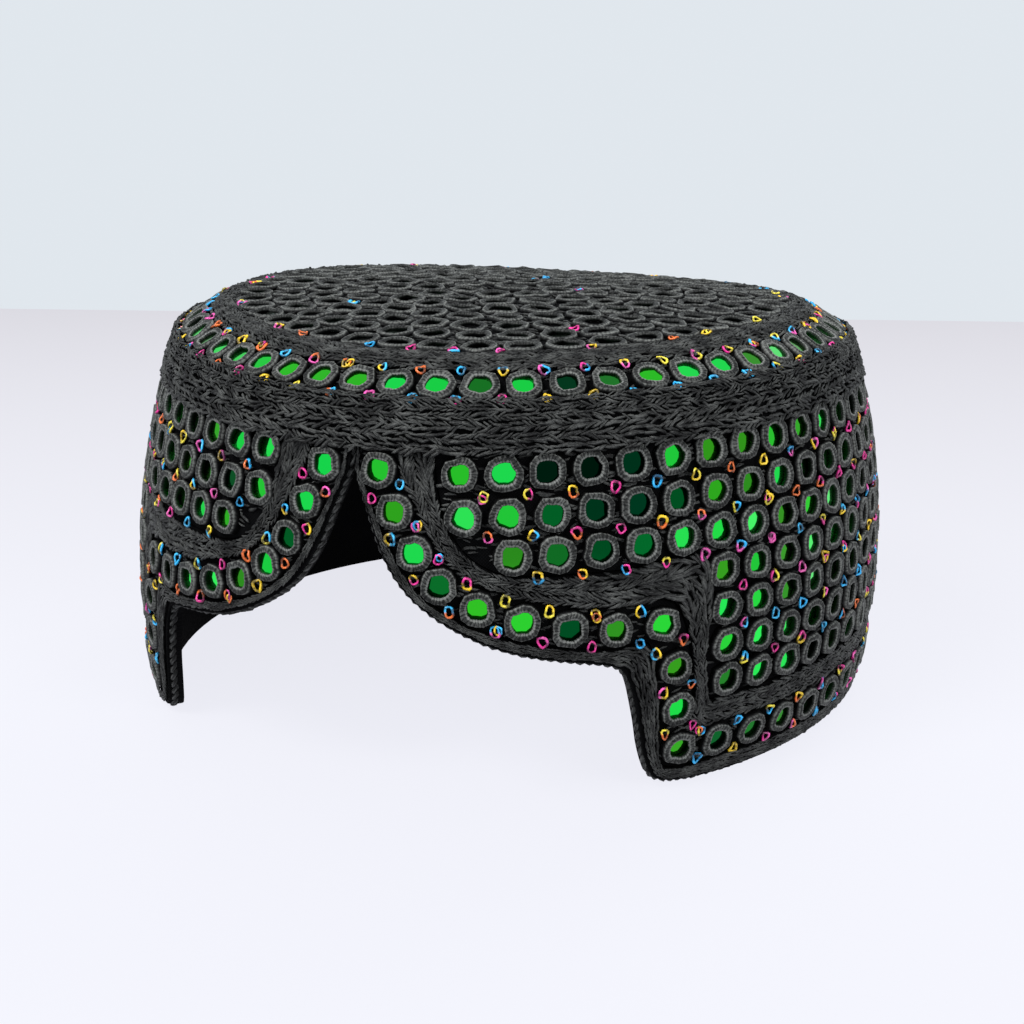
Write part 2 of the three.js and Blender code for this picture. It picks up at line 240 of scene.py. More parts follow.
cutLine = patternLine("cut")
rowLine = patternLine("row")
panelLine = patternLine("panel")

# Materials. A look holds its shades, darkest first, and its bump's strength and depth in metres.


def newMaterial(name):
    # Also gives a function that adds one sum to the material, of numbers and sockets
    material = bpy.data.materials.new(name)
    material.use_nodes = True

    def calc(operation, *values):
        node = newNode(material, "ShaderNodeMath", operation=operation)
        for socket, value in zip(node.inputs, values):
            if isinstance(value, (int, float)):
                socket.default_value = value
            else:
                wire(material, value, socket)
        return node.outputs[0]

    return material, calc


def newNode(material, kind, **settings):
    node = material.node_tree.nodes.new(kind)
    for key, value in settings.items():
        setattr(node, key, value)
    return node


def wire(material, source, target):
    material.node_tree.links.new(source, target)


def storedValue(material, name, output="Fac"):
    return newNode(material, "ShaderNodeAttribute", attribute_name=name).outputs[output]


def axesOf(material, vector):
    parts = newNode(material, "ShaderNodeSeparateXYZ")
    wire(material, vector, parts.inputs[0])
    return parts.outputs


def rampNode(material, factor, stops):
    node = newNode(material, "ShaderNodeValToRGB")
    ramp = node.color_ramp
    while len(ramp.elements) < len(stops):
        ramp.elements.new(1)
    for element, (position, colour) in zip(ramp.elements, stops):
        element.position = position
        element.color = (*colour, 1)
    wire(material, factor, node.inputs[0])
    return node.outputs["Color"]


def noiseNode(material, scale, detail=2.0):
    node = newNode(material, "ShaderNodeTexNoise")
    node.inputs["Scale"].default_value = scale
    node.inputs["Detail"].default_value = detail
    wire(material, newNode(material, "ShaderNodeTexCoord").outputs["Object"], node.inputs["Vector"])
    return node.outputs["Fac"]


def finishLook(material, look, colour, relief):
    shader = material.node_tree.nodes["Principled BSDF"]
    wire(material, colour, shader.inputs["Base Color"])
    shader.inputs["Roughness"].default_value = look["roughness"]
    shader.inputs["Specular IOR Level"].default_value = look["shine"]
    shader.inputs["Metallic"].default_value = look.get("metallic", 0.0)
    bump = newNode(material, "ShaderNodeBump")
    bump.inputs["Strength"].default_value = look["bump"][0]
    bump.inputs["Distance"].default_value = look["bump"][1]
    wire(material, relief, bump.inputs["Height"])
    wire(material, bump.outputs["Normal"], shader.inputs["Normal"])
    return material


def finishThread(material, look, shade, relief):
    return finishLook(material, look, rampNode(material, shade, look["shades"]), relief)


ringLook = {
    "shades": [
        (0.1, (0.0008, 0.0008, 0.001)),
        (0.42, (0.015, 0.0157, 0.015)),
        (0.95, (0.128, 0.132, 0.124)),
    ],
    "stitches": 26,
    "stray": 16.0,  # of the stitches from their places
    "innerCrest": 2.62,  # millimetres from the ring's middle, where the thread gets a painted highlight along its inner edge
    "crestGap": 1.35,  # and from there to the outer one
    "slit": -0.28,  # shares of the relief
    "crest": 0.48,
    "fuzz": 0.9,
    "worn": 0.8,
    "tone": -0.36,
    "roughness": 0.6,
    "shine": 0.15,
    "bump": (0.9, 0.0002),
}


def ringMaterial(look=ringLook):
    # Stitches cross the ring from its hole to its edge, by the shape's own coordinates
    material, calc = newMaterial("ringThread")
    x, y, z = axesOf(material, storedValue(material, "local", "Vector"))
    radius = calc("SQRT", calc("ADD", calc("MULTIPLY", x, x), calc("MULTIPLY", y, y)))
    stray = calc("MULTIPLY", noiseNode(material, 420), look["stray"])
    wave = calc("SINE", calc("MULTIPLY_ADD", calc("ARCTAN2", y, x), look["stitches"], stray))
    # Painted shade: the narrow slits between stitches are painted dark, besides their bump
    slit = calc("POWER", calc("MULTIPLY_ADD", wave, 0.5, 0.5), 2.5)
    bands = calc("MULTIPLY", calc("SUBTRACT", radius, look["innerCrest"]), 2 * math.pi / look["crestGap"])
    # Painted highlight: the thread is painted paler along the ring's inner and outer edges, which also rise
    # in the bump
    crest = calc("POWER", calc("MULTIPLY_ADD", calc("COSINE", bands), 0.5, 0.5), 3.0)
    relief = calc("MULTIPLY_ADD", slit, look["slit"], calc("MULTIPLY", crest, look["crest"]))
    relief = calc("MULTIPLY_ADD", noiseNode(material, 1900, 3.0), look["fuzz"], relief)
    shade = calc("ADD", relief, look["tone"])
    shade = calc("MULTIPLY_ADD", noiseNode(material, 240, 3.0), look["worn"], shade)
    # Painted shade: the ring is painted darker down its walls, towards the ground between rings
    light = calc("MULTIPLY_ADD", z, 1.1, 1.15)  # less of it down in the ring
    light.node.use_clamp = True
    return finishThread(material, look, calc("MULTIPLY", shade, light), relief)


stitchLook = {
    "shades": [
        (0.12, (0.0006, 0.0006, 0.0007)),
        (0.45, (0.006, 0.0062, 0.0062)),
        (0.95, (0.062, 0.064, 0.061)),
    ],
    "fibres": 3,  # across a stitch
    "halfWidth": 0.4,
    "stray": 9.0,
    "fibre": 0.13,
    "fuzz": 0.7,
    "back": 0.36,  # how much paler its back is painted: a painted highlight, with painted shade at its edges
    "worn": 1.55,
    "tone": -0.76,
    "roughness": 0.55,
    "shine": 0.18,
    "bump": (0.9, 0.0002),
}


def stitchMaterial(look=stitchLook):
    # Fibres run along each stitch, with a painted highlight on its back and painted shade at its edges
    material, calc = newMaterial("stitchThread")
    y = axesOf(material, storedValue(material, "local", "Vector"))["Y"]
    stray = calc("MULTIPLY", noiseNode(material, 420), look["stray"])
    fibre = calc("SINE", calc("MULTIPLY_ADD", y, math.pi * look["fibres"] / look["halfWidth"], stray))
    # Painted highlight on the stitch's back, falling to painted shade at its sides
    back = calc("SUBTRACT", 1.0, calc("MULTIPLY", calc("ABSOLUTE", y), 1.9))
    fuzz = calc("MULTIPLY", noiseNode(material, 2100, 3.0), look["fuzz"])
    relief = calc("MULTIPLY_ADD", fibre, look["fibre"], fuzz)
    shade = calc("MULTIPLY_ADD", back, look["back"], calc("ADD", relief, look["tone"]))
    shade = calc("MULTIPLY_ADD", noiseNode(material, 260, 4.0), look["worn"], shade)
    return finishThread(material, look, shade, relief)


plaitLook = {
    "shades": [(0.12, (0.001, 0.001, 0.0011)), (0.45, (0.007, 0.0072, 0.0072)), (0.95, (0.06, 0.062, 0.06))],
    "fibres": 4,  # round a strand
    "twist": 0.5,  # turns of them to a period of the plait
    "stray": 7.0,
    "fibre": 0.4,
    "fuzz": 0.6,
    "above": 0.24,  # painted highlight where a strand lies on top, painted shade where it passes under
    "worn": 0.7,
    "tone": -0.4,
    "roughness": 0.55,
    "shine": 0.18,
    "bump": (1.0, 0.00025),
}


def plaitMaterial(look=plaitLook):
    # Fibres follow each strand, which gets painted shade where it passes under the others and a painted
    # highlight on top
    material, calc = newMaterial("plaitThread")
    run, turn, above = [storedValue(material, name) for name in ("run", "turn", "above")]
    stray = calc("MULTIPLY", noiseNode(material, 500), look["stray"])
    along = calc("MULTIPLY_ADD", run, 2 * math.pi * look["twist"], stray)
    twist = calc("MULTIPLY_ADD", turn, 2 * math.pi * look["fibres"], along)
    fibre = calc("MULTIPLY", calc("MULTIPLY_ADD", calc("SINE", twist), 0.5, 0.5), look["fibre"])
    relief = calc("MULTIPLY_ADD", noiseNode(material, 2300, 3.0), look["fuzz"], fibre)
    # Painted highlight on top of the strands, painted shade where they pass under
    shade = calc("ADD", calc("MULTIPLY_ADD", above, look["above"], relief), look["tone"])
    shade = calc("MULTIPLY_ADD", noiseNode(material, 330, 4.0), look["worn"], shade)
    return finishThread(material, look, shade, relief)


clothLook = {
    "shades": [(0.2, (0.0009, 0.0009, 0.00102)), (0.9, (0.003, 0.003, 0.0034))],
    "threads": 1.4,  # to the millimetre
    "weave": 0.5,
    "worn": 0.6,
    "roughness": 0.9,
    "shine": 0.03,
    "bump": (0.6, 0.0002),
}


def clothMaterial(look=clothLook):
    # A plain weave on the flat map, one unit to a millimetre
    material, calc = newMaterial("blackCloth")
    flat = newNode(material, "ShaderNodeUVMap", uv_map="flat")
    across, along, _ = axesOf(material, flat.outputs["UV"])
    density = 2 * math.pi * look["threads"]
    warp = calc("SINE", calc("MULTIPLY", across, density))
    weft = calc("SINE", calc("MULTIPLY", along, density))
    weave = calc("MULTIPLY_ADD", calc("MULTIPLY", warp, weft), 0.5, 0.5)
    worn = calc("MULTIPLY", noiseNode(material, 150, 4.0), look["worn"])
    return finishThread(material, look, calc("MULTIPLY_ADD", weave, look["weave"], worn), weave)


# Mirrors from dark to bright green, and a pale one at the top: how bright each is painted is a painted
# reflection
mirrorLook = {
    "shades": [
        (0.0, (0.0, 0.01, 0.004)),
        (0.2, (0.0, 0.035, 0.012)),
        (0.4, (0.001, 0.14, 0.022)),
        (0.56, (0.04, 0.36, 0.012)),
        (0.66, (0.03, 0.62, 0.02)),
        (0.74, (0.008, 0.8, 0.08)),
        (0.86, (0.03, 0.95, 0.1)),
        (1.0, (0.35, 0.85, 0.4)),
    ],
    "roughness": 0.06,
    "shine": 0.5,
    "metallic": 1.0,
    "bump": (0.03, 0.0006),
}


def mirrorMaterial(look=mirrorLook):
    material, _ = newMaterial("greenMirror")
    # Each mirror's stored shade gives its painted reflection
    return finishThread(material, look, storedValue(material, "shade"), noiseNode(material, 90))


loopLook = {
    "shades": [(0.38, (0.12, 0.12, 0.14)), (0.58, (1, 1, 1))],  # of wear, laid over the tints
    "roughness": 0.35,
    "shine": 0.5,
    "bump": (0.5, 0.0001),
}


def loopMaterial(look=loopLook):
    # Each half of a loop has its own tint
    material, _ = newMaterial("colouredThread")
    tint = newNode(material, "ShaderNodeMix", data_type="RGBA")
    wire(material, storedValue(material, "half"), tint.inputs["Factor"])
    wire(material, storedValue(material, "tintA", "Color"), tint.inputs["A"])
    wire(material, storedValue(material, "tintB", "Color"), tint.inputs["B"])
    shaded = newNode(material, "ShaderNodeMix", data_type="RGBA", blend_type="MULTIPLY")
    shaded.inputs["Factor"].default_value = 1.0
    wire(material, tint.outputs["Result"], shaded.inputs["A"])
    wire(material, rampNode(material, noiseNode(material, 700), look["shades"]), shaded.inputs["B"])
    return finishLook(material, look, shaded.outputs["Result"], noiseNode(material, 3500))


ringThread = ringMaterial()
plaitThread = plaitMaterial()
stitchThread = stitchMaterial()
blackCloth = clothMaterial()
greenMirror = mirrorMaterial()
colouredThread = loopMaterial()

# Meshes made point by point


def finishPiece(piece, replaced=()):
    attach(piece, "root")
    if replaced:
        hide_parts(*replaced)
    print("made", piece.name, len(piece.data.polygons), "faces")
    return piece


def meshObject(name, points, faces, edges=()):
    mesh = bpy.data.meshes.new(name)
    mesh.from_pydata([tuple(point) for point in points], list(edges), faces)
    piece = bpy.data.objects.new(name, mesh)
    scene.collection.objects.link(piece)
    return piece


def setAttribute(piece, name, kind, values):
    field = {"FLOAT": "value", "FLOAT_VECTOR": "vector", "FLOAT_COLOR": "color"}[kind]
    attribute = piece.data.attributes.new(name, kind, "POINT")
    flatValues = values if kind == "FLOAT" else [number for value in values for number in value]
    attribute.data.foreach_set(field, flatValues)


# A sheet of real thickness. Each column is a closed outline of (point, flat place), with its outer
# side from the bottom up and its inner side back down.
def loftSheet(name, columns, isLoop, material):
    size = len(columns[0])
    count = len(columns)
    lap = 2 * math.pi * cap["wallRadius"]
    faces = []
    corners = []
    for i in range(count if isLoop else count - 1):
        j = (i + 1) % count
        for a in range(size):
            b = (a + 1) % size
            quad = [(i, a), (j, a), (j, b), (i, b)]
            faces.append([column * size + row for column, row in quad])
            for column, row in quad:
                u, v = columns[column][row][1]
                corners.append((u + lap if column < i else u, v))
    if not isLoop:
        for a in range(size // 2 - 1):
            rungs = [a, a + 1, size - 2 - a, size - 1 - a]
            for column, order in ((0, rungs), (count - 1, rungs[::-1])):
                faces.append([column * size + row for row in order])
                corners.extend(columns[column][row][1] for row in order)
    points = [point for column in columns for point, _ in column]
    piece = meshObject(name, points, faces)
    flat = piece.data.uv_layers.new(name="flat")
    flat.data.foreach_set("uv", [number for corner in corners for number in corner])
    work = bmesh.new()
    work.from_mesh(piece.data)
    bmesh.ops.remove_doubles(work, verts=work.verts, dist=1e-7)
    work.to_mesh(piece.data)
    work.free()
    piece.data.polygons.foreach_set("use_smooth", [True] * len(piece.data.polygons))
    piece.data.set_sharp_from_angle(angle=math.radians(50))
    piece.data.materials.append(material)
    return piece


def shares(count):
    return [i / count for i in range(count + 1)]


def wallColumn(x, low, high, outer, inner, levels):
    heights = [low + (high - low) * share for share in shares(levels)]
    out = [(onWall(x, height, outer), (x, height)) for height in heights]
    back = [(onWall(x, height, inner), (x, height)) for height in reversed(heights)]
    return [*out, *back]


def clothWall():
    foot = smoothLine(cutLine[2:-2])
    columns = [wallColumn(p.x, p.y, cap["wallTop"], cap["clothOuter"], cap["clothInner"], 12) for p in foot]
    piece = loftSheet("cloth_wall", columns, True, blackCloth)
    return finishPiece(piece, ("side_wall_right", "side_wall_left"))


def discPoint(angle, radius, depth):
    x = radius * math.sin(angle)
    y = -radius * math.cos(angle)
    return onDisc(x, y, depth), (x, y)


def shoulderPoint(angle, along, depth):
    return onShoulder(angle * slopeMiddle, along, depth), (angle * cap["wallRadius"], along)


def wallPoint(angle, height, depth):
    x = angle * cap["wallRadius"]
    return onWall(x, height, depth), (x, height)


def turns(count, shift=0):
    return [2 * math.pi * (i + shift) / count for i in range(count)]


# Places on the crown's section: heights on the wall, lengths up the shoulder, radii on the disc
crown = {
    "wall": (cap["wallTop"], 85, 86.6),
    "shoulder": (2, 6, 10, 13),
    "disc": (73, 60, 45, 30, 15, 0),
}


def clothCrown():
    columns = []
    for angle in turns(cap["sides"]):
        column = []
        for depth in (cap["clothOuter"], cap["clothInner"]):
            side = [wallPoint(angle, height, depth) for height in crown["wall"]]
            side += [shoulderPoint(angle, along, depth) for along in crown["shoulder"]]
            side += [discPoint(angle, radius, depth) for radius in crown["disc"]]
            column += side if depth == cap["clothOuter"] else side[::-1]
        columns.append(column)
    piece = loftSheet("cloth_crown", columns, True, blackCloth)
    return finishPiece(piece, ("crown_shell",))


def fieldGround():
    low = smoothLine(panelLine[1:-1])
    columns = [wallColumn(p.x, p.y, cap["fieldTop"], cap["ringDepth"], cap["clothOuter"], 10) for p in low]
    piece = loftSheet("field_ground", columns, False, blackCloth)
    return finishPiece(piece, ("mirror_field",))


# A strip of ground between two lines on the wall
def stripGround(name, nearLine, farLine, depth, replaced=()):
    columns = []
    for near, far in zip(smoothLine(nearLine), smoothLine(farLine)):
        places = [near.lerp(far, share) for share in shares(4)]
        out = [(onWall(p.x, p.y, depth), tuple(p)) for p in places]
        back = [(onWall(p.x, p.y, cap["clothOuter"]), tuple(p)) for p in reversed(places)]
        columns.append([*out, *back])
    return finishPiece(loftSheet(name, columns, False, blackCloth), replaced)


# A band of ground that runs round the cap, by the stretches of its section
def roundGround(name, outside, inside, replaced=()):
    section = [*outside, *reversed(inside)]
    columns = [[point(angle, at, depth) for point, at, depth in section] for angle in turns(cap["sides"])]
    return finishPiece(loftSheet(name, columns, True, blackCloth), replaced)


def stretch(point, low, high, count, depth=cap["clothOuter"]):
    return [(point, low + (high - low) * share, depth) for share in shares(count)]


print("cloth and grounds")
clothWall()
clothCrown()
fieldGround()
half = cap["stripHalfWidth"]
seam = cap["seam"]
backing = cap["plaitDepth"]
borderNear = offsetLine(rowLine, -half)
borderFar = offsetLine(rowLine, half)
frameNear = offsetLine(rowLine, half + seam)
frameFar = offsetLine(panelLine, -seam)
edgeNear = offsetLine(cutLine, 0.4)
edgeFar = offsetLine(rowLine, -half - seam)
borderNodes = ("border_right", "border_left", "rim_band")
stripGround("border_ground", borderNear, borderFar, cap["ringDepth"], borderNodes)
stripGround("frame_backing", frameNear, frameFar, backing)
stripGround("edge_backing", edgeNear, edgeFar, backing)

shoulderFrom = 1.6
shoulderTo = 10.0
discEdge = 70.9
ridgeFoot = 79.3
roundGround(
    "shoulder_ground",
    stretch(shoulderPoint, shoulderFrom, shoulderTo, 4, cap["ringDepth"]),
    stretch(shoulderPoint, shoulderFrom, shoulderTo, 4),
    ("shoulder_row",),
)
roundGround(
    "disc_ground",
    stretch(discPoint, discEdge - seam, 0, 7, cap["discDepth"]),
    stretch(discPoint, discEdge - seam, 0, 7),
    ("disc_panel",),
)
roundGround(
    "ridge_backing",
    [*stretch(wallPoint, ridgeFoot, 87.8, 4, 0.5), (shoulderPoint, 1.25, 0.7)],
    [*stretch(wallPoint, ridgeFoot, 86.4, 4), (shoulderPoint, 1.25, cap["clothOuter"])],
)
roundGround(
    "disc_backing",
    [
        *stretch(shoulderPoint, shoulderTo + seam, slopeLength - 0.4, 2, backing),
        *stretch(discPoint, cap["discRadius"] - 1, discEdge, 2, backing),
    ],
    [
        *stretch(shoulderPoint, shoulderTo + seam, slopeLength - 0.6, 2),
        *stretch(discPoint, cap["discRadius"] - 1.6, discEdge, 2),
    ],
)

# Geometry Nodes


def newTree(name, inputs):
    # Every tree also takes whether its faces are smooth, and their material
    tree = bpy.data.node_groups.new(name, "GeometryNodeTree")
    for way in ("INPUT", "OUTPUT"):
        tree.interface.new_socket("Geometry", in_out=way, socket_type="NodeSocketGeometry")
    for label, kind in {**inputs, "Smooth": "Bool", "Material": "Material"}.items():
        tree.interface.new_socket(label, in_out="INPUT", socket_type="NodeSocket" + kind)
    return tree, tree.nodes.new("NodeGroupInput"), tree.nodes.new("NodeGroupOutput")


def addNode(tree, kind, links=(), output=0, **settings):
    # Links hold numbers, sockets or a list of sockets. Gives one output of the node.
    node = tree.nodes.new(kind)
    for key, value in settings.items():
        setattr(node, key, value)
    for name, value in dict(links).items():
        if isinstance(value, bpy.types.NodeSocket):
            tree.links.new(value, node.inputs[name])
        elif isinstance(value, list):
            for source in value:
                tree.links.new(source, node.inputs[name])
        else:
            node.inputs[name].default_value = value
    return node.outputs[output]


def namedValue(tree, name, kind="FLOAT"):
    return addNode(tree, "GeometryNodeInputNamedAttribute", {"Name": name}, "Attribute", data_type=kind)


def storeValue(tree, geometry, name, value):
    links = {"Geometry": geometry, "Name": name, "Value": value}
    return addNode(tree, "GeometryNodeStoreNamedAttribute", links, data_type="FLOAT", domain="POINT")


def scalar(tree, operation, *values):
    return addNode(tree, "ShaderNodeMath", dict(enumerate(values)), operation=operation)


def scaled(tree, vector, factor):
    return addNode(tree, "ShaderNodeVectorMath", {0: vector, "Scale": factor}, operation="SCALE")


def added(tree, a, b):
    return addNode(tree, "ShaderNodeVectorMath", {0: a, 1: b}, operation="ADD")


def moved(tree, geometry, offset):
    return addNode(tree, "GeometryNodeSetPosition", {"Geometry": geometry, "Offset": offset})


def noiseHere(tree, size, output):
    position = addNode(tree, "GeometryNodeInputPosition")
    links = {"Vector": position, "Scale": scalar(tree, "DIVIDE", 1.0, size), "Detail": 1.0}
    return addNode(tree, "ShaderNodeTexNoise", links, output)


def noisePush(tree, geometry, take):
    # A push in any direction that changes from place to place
    centred = added(tree, noiseHere(tree, take["Push Size"], "Color"), (-0.5, -0.5, -0.5))
    return moved(tree, geometry, scaled(tree, centred, scalar(tree, "MULTIPLY", take["Push"], 2.0)))


def closeTree(tree, geometry, start, end):
    realized = addNode(tree, "GeometryNodeRealizeInstances", {"Geometry": geometry})
    links = {"Geometry": realized, "Shade Smooth": start.outputs["Smooth"]}
    smooth = addNode(tree, "GeometryNodeSetShadeSmooth", links)
    links = {"Geometry": smooth, "Material": start.outputs["Material"]}
    tree.links.new(addNode(tree, "GeometryNodeSetMaterial", links), end.inputs["Geometry"])


def scatterTree():
    # Sets one of several small shapes on each point, turned, tilted and pushed a little at random
    floats = dict.fromkeys(("Turn", "Tilt", "Spread", "Push", "Push Size"), "Float")
    tree, start, end = newTree("scatter", {"Shapes": "Collection", **floats, "Seed": "Int"})
    take = start.outputs

    def between(low, high, seedStep):
        links = {2: low, 3: high, "Seed": scalar(tree, "ADD", take["Seed"], seedStep)}
        return addNode(tree, "FunctionNodeRandomValue", links, 1, data_type="FLOAT")

    def eitherWay(reach, seedStep):
        return between(scalar(tree, "MULTIPLY", reach, -1.0), reach, seedStep)

    axes = {
        "Primary Axis": namedValue(tree, "outward", "FLOAT_VECTOR"),
        "Secondary Axis": namedValue(tree, "sideways", "FLOAT_VECTOR"),
    }
    facing = addNode(tree, "FunctionNodeAxesToRotation", axes, primary_axis="Z", secondary_axis="X")
    strays = (("X", "Tilt"), ("Y", "Tilt"), ("Z", "Turn"))
    angles = {axis: eitherWay(take[name], i + 1) for i, (axis, name) in enumerate(strays)}
    turn = addNode(tree, "FunctionNodeEulerToRotation", {0: addNode(tree, "ShaderNodeCombineXYZ", angles)})
    links = {"Rotation": facing, "Rotate By": turn}
    rotation = addNode(tree, "FunctionNodeRotateRotation", links, rotation_space="LOCAL")
    low = scalar(tree, "SUBTRACT", 1.0, take["Spread"])
    high = scalar(tree, "ADD", 1.0, take["Spread"])
    links = {4: 0, 5: 99, "Seed": scalar(tree, "ADD", take["Seed"], 5)}
    pick = addNode(tree, "FunctionNodeRandomValue", links, 2, data_type="INT")
    links = {"Collection": take["Shapes"], "Separate Children": True, "Reset Children": True}
    links = {
        "Points": addNode(tree, "GeometryNodeMeshToPoints", {"Mesh": take["Geometry"]}),
        "Instance": addNode(tree, "GeometryNodeCollectionInfo", links),
        "Pick Instance": True,
        "Instance Index": pick,
        "Rotation": rotation,
        "Scale": scalar(tree, "MULTIPLY", between(low, high, 4), namedValue(tree, "size")),
    }
    instances = addNode(tree, "GeometryNodeInstanceOnPoints", links)
    whole = addNode(tree, "GeometryNodeRealizeInstances", {"Geometry": instances})
    closeTree(tree, noisePush(tree, whole, take), start, end)
    return tree


def plaitTree():
    # Three strands weave over and under each other along every line of the mesh
    floats = ("Period", "Strand Share", "Lift", "Unevenness", "Push", "Push Size")
    tree, start, end = newTree("plait", {**dict.fromkeys(floats, "Float"), "Sides": "Int"})
    take = start.outputs
    reach = namedValue(tree, "reach")
    across = namedValue(tree, "across", "FLOAT_VECTOR")
    outward = namedValue(tree, "outward", "FLOAT_VECTOR")
    cycles = scalar(tree, "DIVIDE", namedValue(tree, "run"), take["Period"])
    strandRadius = scalar(tree, "MULTIPLY", reach, take["Strand Share"])
    swing = scalar(tree, "SUBTRACT", reach, strandRadius)
    strands = []
    for strand in range(3):
        phase = scalar(tree, "MULTIPLY", scalar(tree, "ADD", cycles, strand / 3), 2 * math.pi)
        aside = scalar(tree, "MULTIPLY", scalar(tree, "SINE", phase), swing)
        double = scalar(tree, "SINE", scalar(tree, "MULTIPLY", phase, 2.0))
        rise = scalar(tree, "MULTIPLY", double, scalar(tree, "MULTIPLY", strandRadius, take["Lift"]))
        offset = added(tree, scaled(tree, across, aside), scaled(tree, outward, rise))
        # How far each strand rises, kept for the plait's painted highlight and painted shade
        strands.append(storeValue(tree, moved(tree, take["Geometry"], offset), "above", double))
    joined = addNode(tree, "GeometryNodeJoinGeometry", {0: strands})
    curves = addNode(tree, "GeometryNodeMeshToCurve", {"Mesh": noisePush(tree, joined, take)})
    uneven = noiseHere(tree, take["Push Size"], "Fac")
    thickness = scalar(tree, "MULTIPLY_ADD", uneven, take["Unevenness"], 1.0)
    thickness = scalar(tree, "MULTIPLY_ADD", take["Unevenness"], -0.5, thickness)
    links = {"Curve": curves, "Radius": scalar(tree, "MULTIPLY", strandRadius, thickness)}
    sized = addNode(tree, "GeometryNodeSetCurveRadius", links)
    circle = addNode(tree, "GeometryNodeCurvePrimitiveCircle", {"Resolution": take["Sides"], "Radius": 1.0})
    turn = scalar(tree, "DIVIDE", addNode(tree, "GeometryNodeInputIndex"), take["Sides"])
    profile = storeValue(tree, circle, "turn", turn)
    radius = addNode(tree, "GeometryNodeInputRadius")
    links = {"Curve": sized, "Profile Curve": profile, "Fill Caps": True, "Scale": radius}
    closeTree(tree, addNode(tree, "GeometryNodeCurveToMesh", links), start, end)
    return tree


def grow(base, tree, values):
    # Gives the tree its inputs by identifier, then keeps what it makes as a plain mesh
    modifier = base.modifiers.new("grow", "NODES")
    modifier.node_group = tree
    for item in tree.interface.items_tree:
        if item.in_out == "INPUT" and item.name in values:
            modifier[item.identifier] = values[item.name]
    depsgraph = bpy.context.evaluated_depsgraph_get()
    made = base.evaluated_get(depsgraph)
    mesh = bpy.data.meshes.new_from_object(made, preserve_all_data_layers=True, depsgraph=depsgraph)
    base.modifiers.clear()
    base.data = mesh
    mesh.name = base.name
    return base


scatter = scatterTree()
plait = plaitTree()

# Small shapes that repeat. Each stands on the origin with its top at z = 0.
shapeSets = []


def shapeSet(name, makeShape, variants=1):
    # Variants are kept out of the scene, for the trees to pick from
    collection = bpy.data.collections.new(name)
    for i in range(variants):
        shape = makeShape(f"{name}{i}", i)
        scene.collection.objects.unlink(shape)
        collection.objects.link(shape)
    shapeSets.append(collection)
    return collection


def tubeLoop(name, stations, ringPoints):
    # Closed tube: stations round it, each with the points of its section
    count = len(stations)
    faces = []
    for i in range(count):
        j = (i + 1) % count
        for a in range(ringPoints):
            b = (a + 1) % ringPoints
            faces.append([i * ringPoints + a, j * ringPoints + a, j * ringPoints + b, i * ringPoints + b])
    return meshObject(name, [point for station in stations for point in station], faces)


# Strays are given as turn and tilt in degrees, spread of size, and push of the shape's points in
# millimetres, by a noise whose size is given too
ring = {
    "section": [(2.7, -1.9), (2.4, -0.22), (2.7, -0.03), (3.9, -0.05), (4.3, -1.9)],  # radius and height
    "flatSection": [(3.0, -1.3), (2.8, -0.4), (3.3, -0.12), (4.05, -0.26), (4.6, -1.3)],  # on the disc
    "sides": 14,
    "variants": 5,
    "square": 0.045,  # how far the rings are drawn towards squares
    "stray": 0.24,  # of each side from round
    "turn": 12.0,
    "tilt": 3.0,
    "spread": 0.03,
    "push": 0.45,
    "pushSize": 3.4,
}


def ringShape(name, seed, section):
    chance = random.Random(seed)
    stations = []
    local = []
    for angle in turns(ring["sides"]):
        inStray = chance.uniform(-ring["stray"], ring["stray"])
        outStray = chance.uniform(-ring["stray"], ring["stray"])
        corner = 1 - ring["square"] * math.cos(4 * angle)
        station = []
        for k, (radius, height) in enumerate(section):
            share = k / (len(section) - 1)
            strayed = radius * corner + inStray * (1 - share) + outStray * share
            station.append(Vector((strayed * math.cos(angle), strayed * math.sin(angle), height)) * mm)
            local.append((radius * math.cos(angle), radius * math.sin(angle), height))
        stations.append(station)
    shape = tubeLoop(name, stations, len(section))
    setAttribute(shape, "local", "FLOAT_VECTOR", local)
    return shape


mirror = {
    "radius": 2.95,
    "depth": 1.35,
    "shoulderDepth": 0.8,
    "discDepth": 1.2,
    "thickness": 0.2,
    "sides": 12,
    "turn": 180.0,
    "tilt": 5.0,
    "spread": 0.0,
    "push": 0.0,
    "pushSize": 3.4,
    # A mirror's shade is a painted reflection: how bright it is painted, about this much, with this spread
    # and no paler than the last
    "shade": 0.68,
    "shadeSpread": 0.14,
    "palest": 0.9,
    "patches": [  # painted reflection, where neighbouring mirrors are painted duller alike: place on the flat wall, reach, change
        {"place": (54, 70), "reach": 21, "change": -0.42},
        {"place": (18, 54), "reach": 9, "change": -0.3},
        {"place": (48, 41), "reach": 7, "change": -0.3},
        {"place": (50, 95), "reach": 30, "change": -0.24},
        {"place": (88, 72), "reach": 12, "change": -0.2},
        {"place": (540, 72), "reach": 14, "change": -0.25},
    ],
    "back": {"from": 120, "to": 480, "reach": 26, "change": 0.6},  # painted reflection, in patches by chance round the back
}


def mirrorShape(name, depth):
    n = mirror["sides"]
    points = []
    for z in (-depth, -depth - mirror["thickness"]):
        for turn in turns(n):
            radius = mirror["radius"]
            points.append(Vector((math.cos(turn) * radius, math.sin(turn) * radius, z)) * mm)
    faces = [list(range(n)), list(range(2 * n - 1, n - 1, -1))]
    faces += [[n + i, n + (i + 1) % n, (i + 1) % n, i] for i in range(n)]
    return meshObject(name, points, faces)


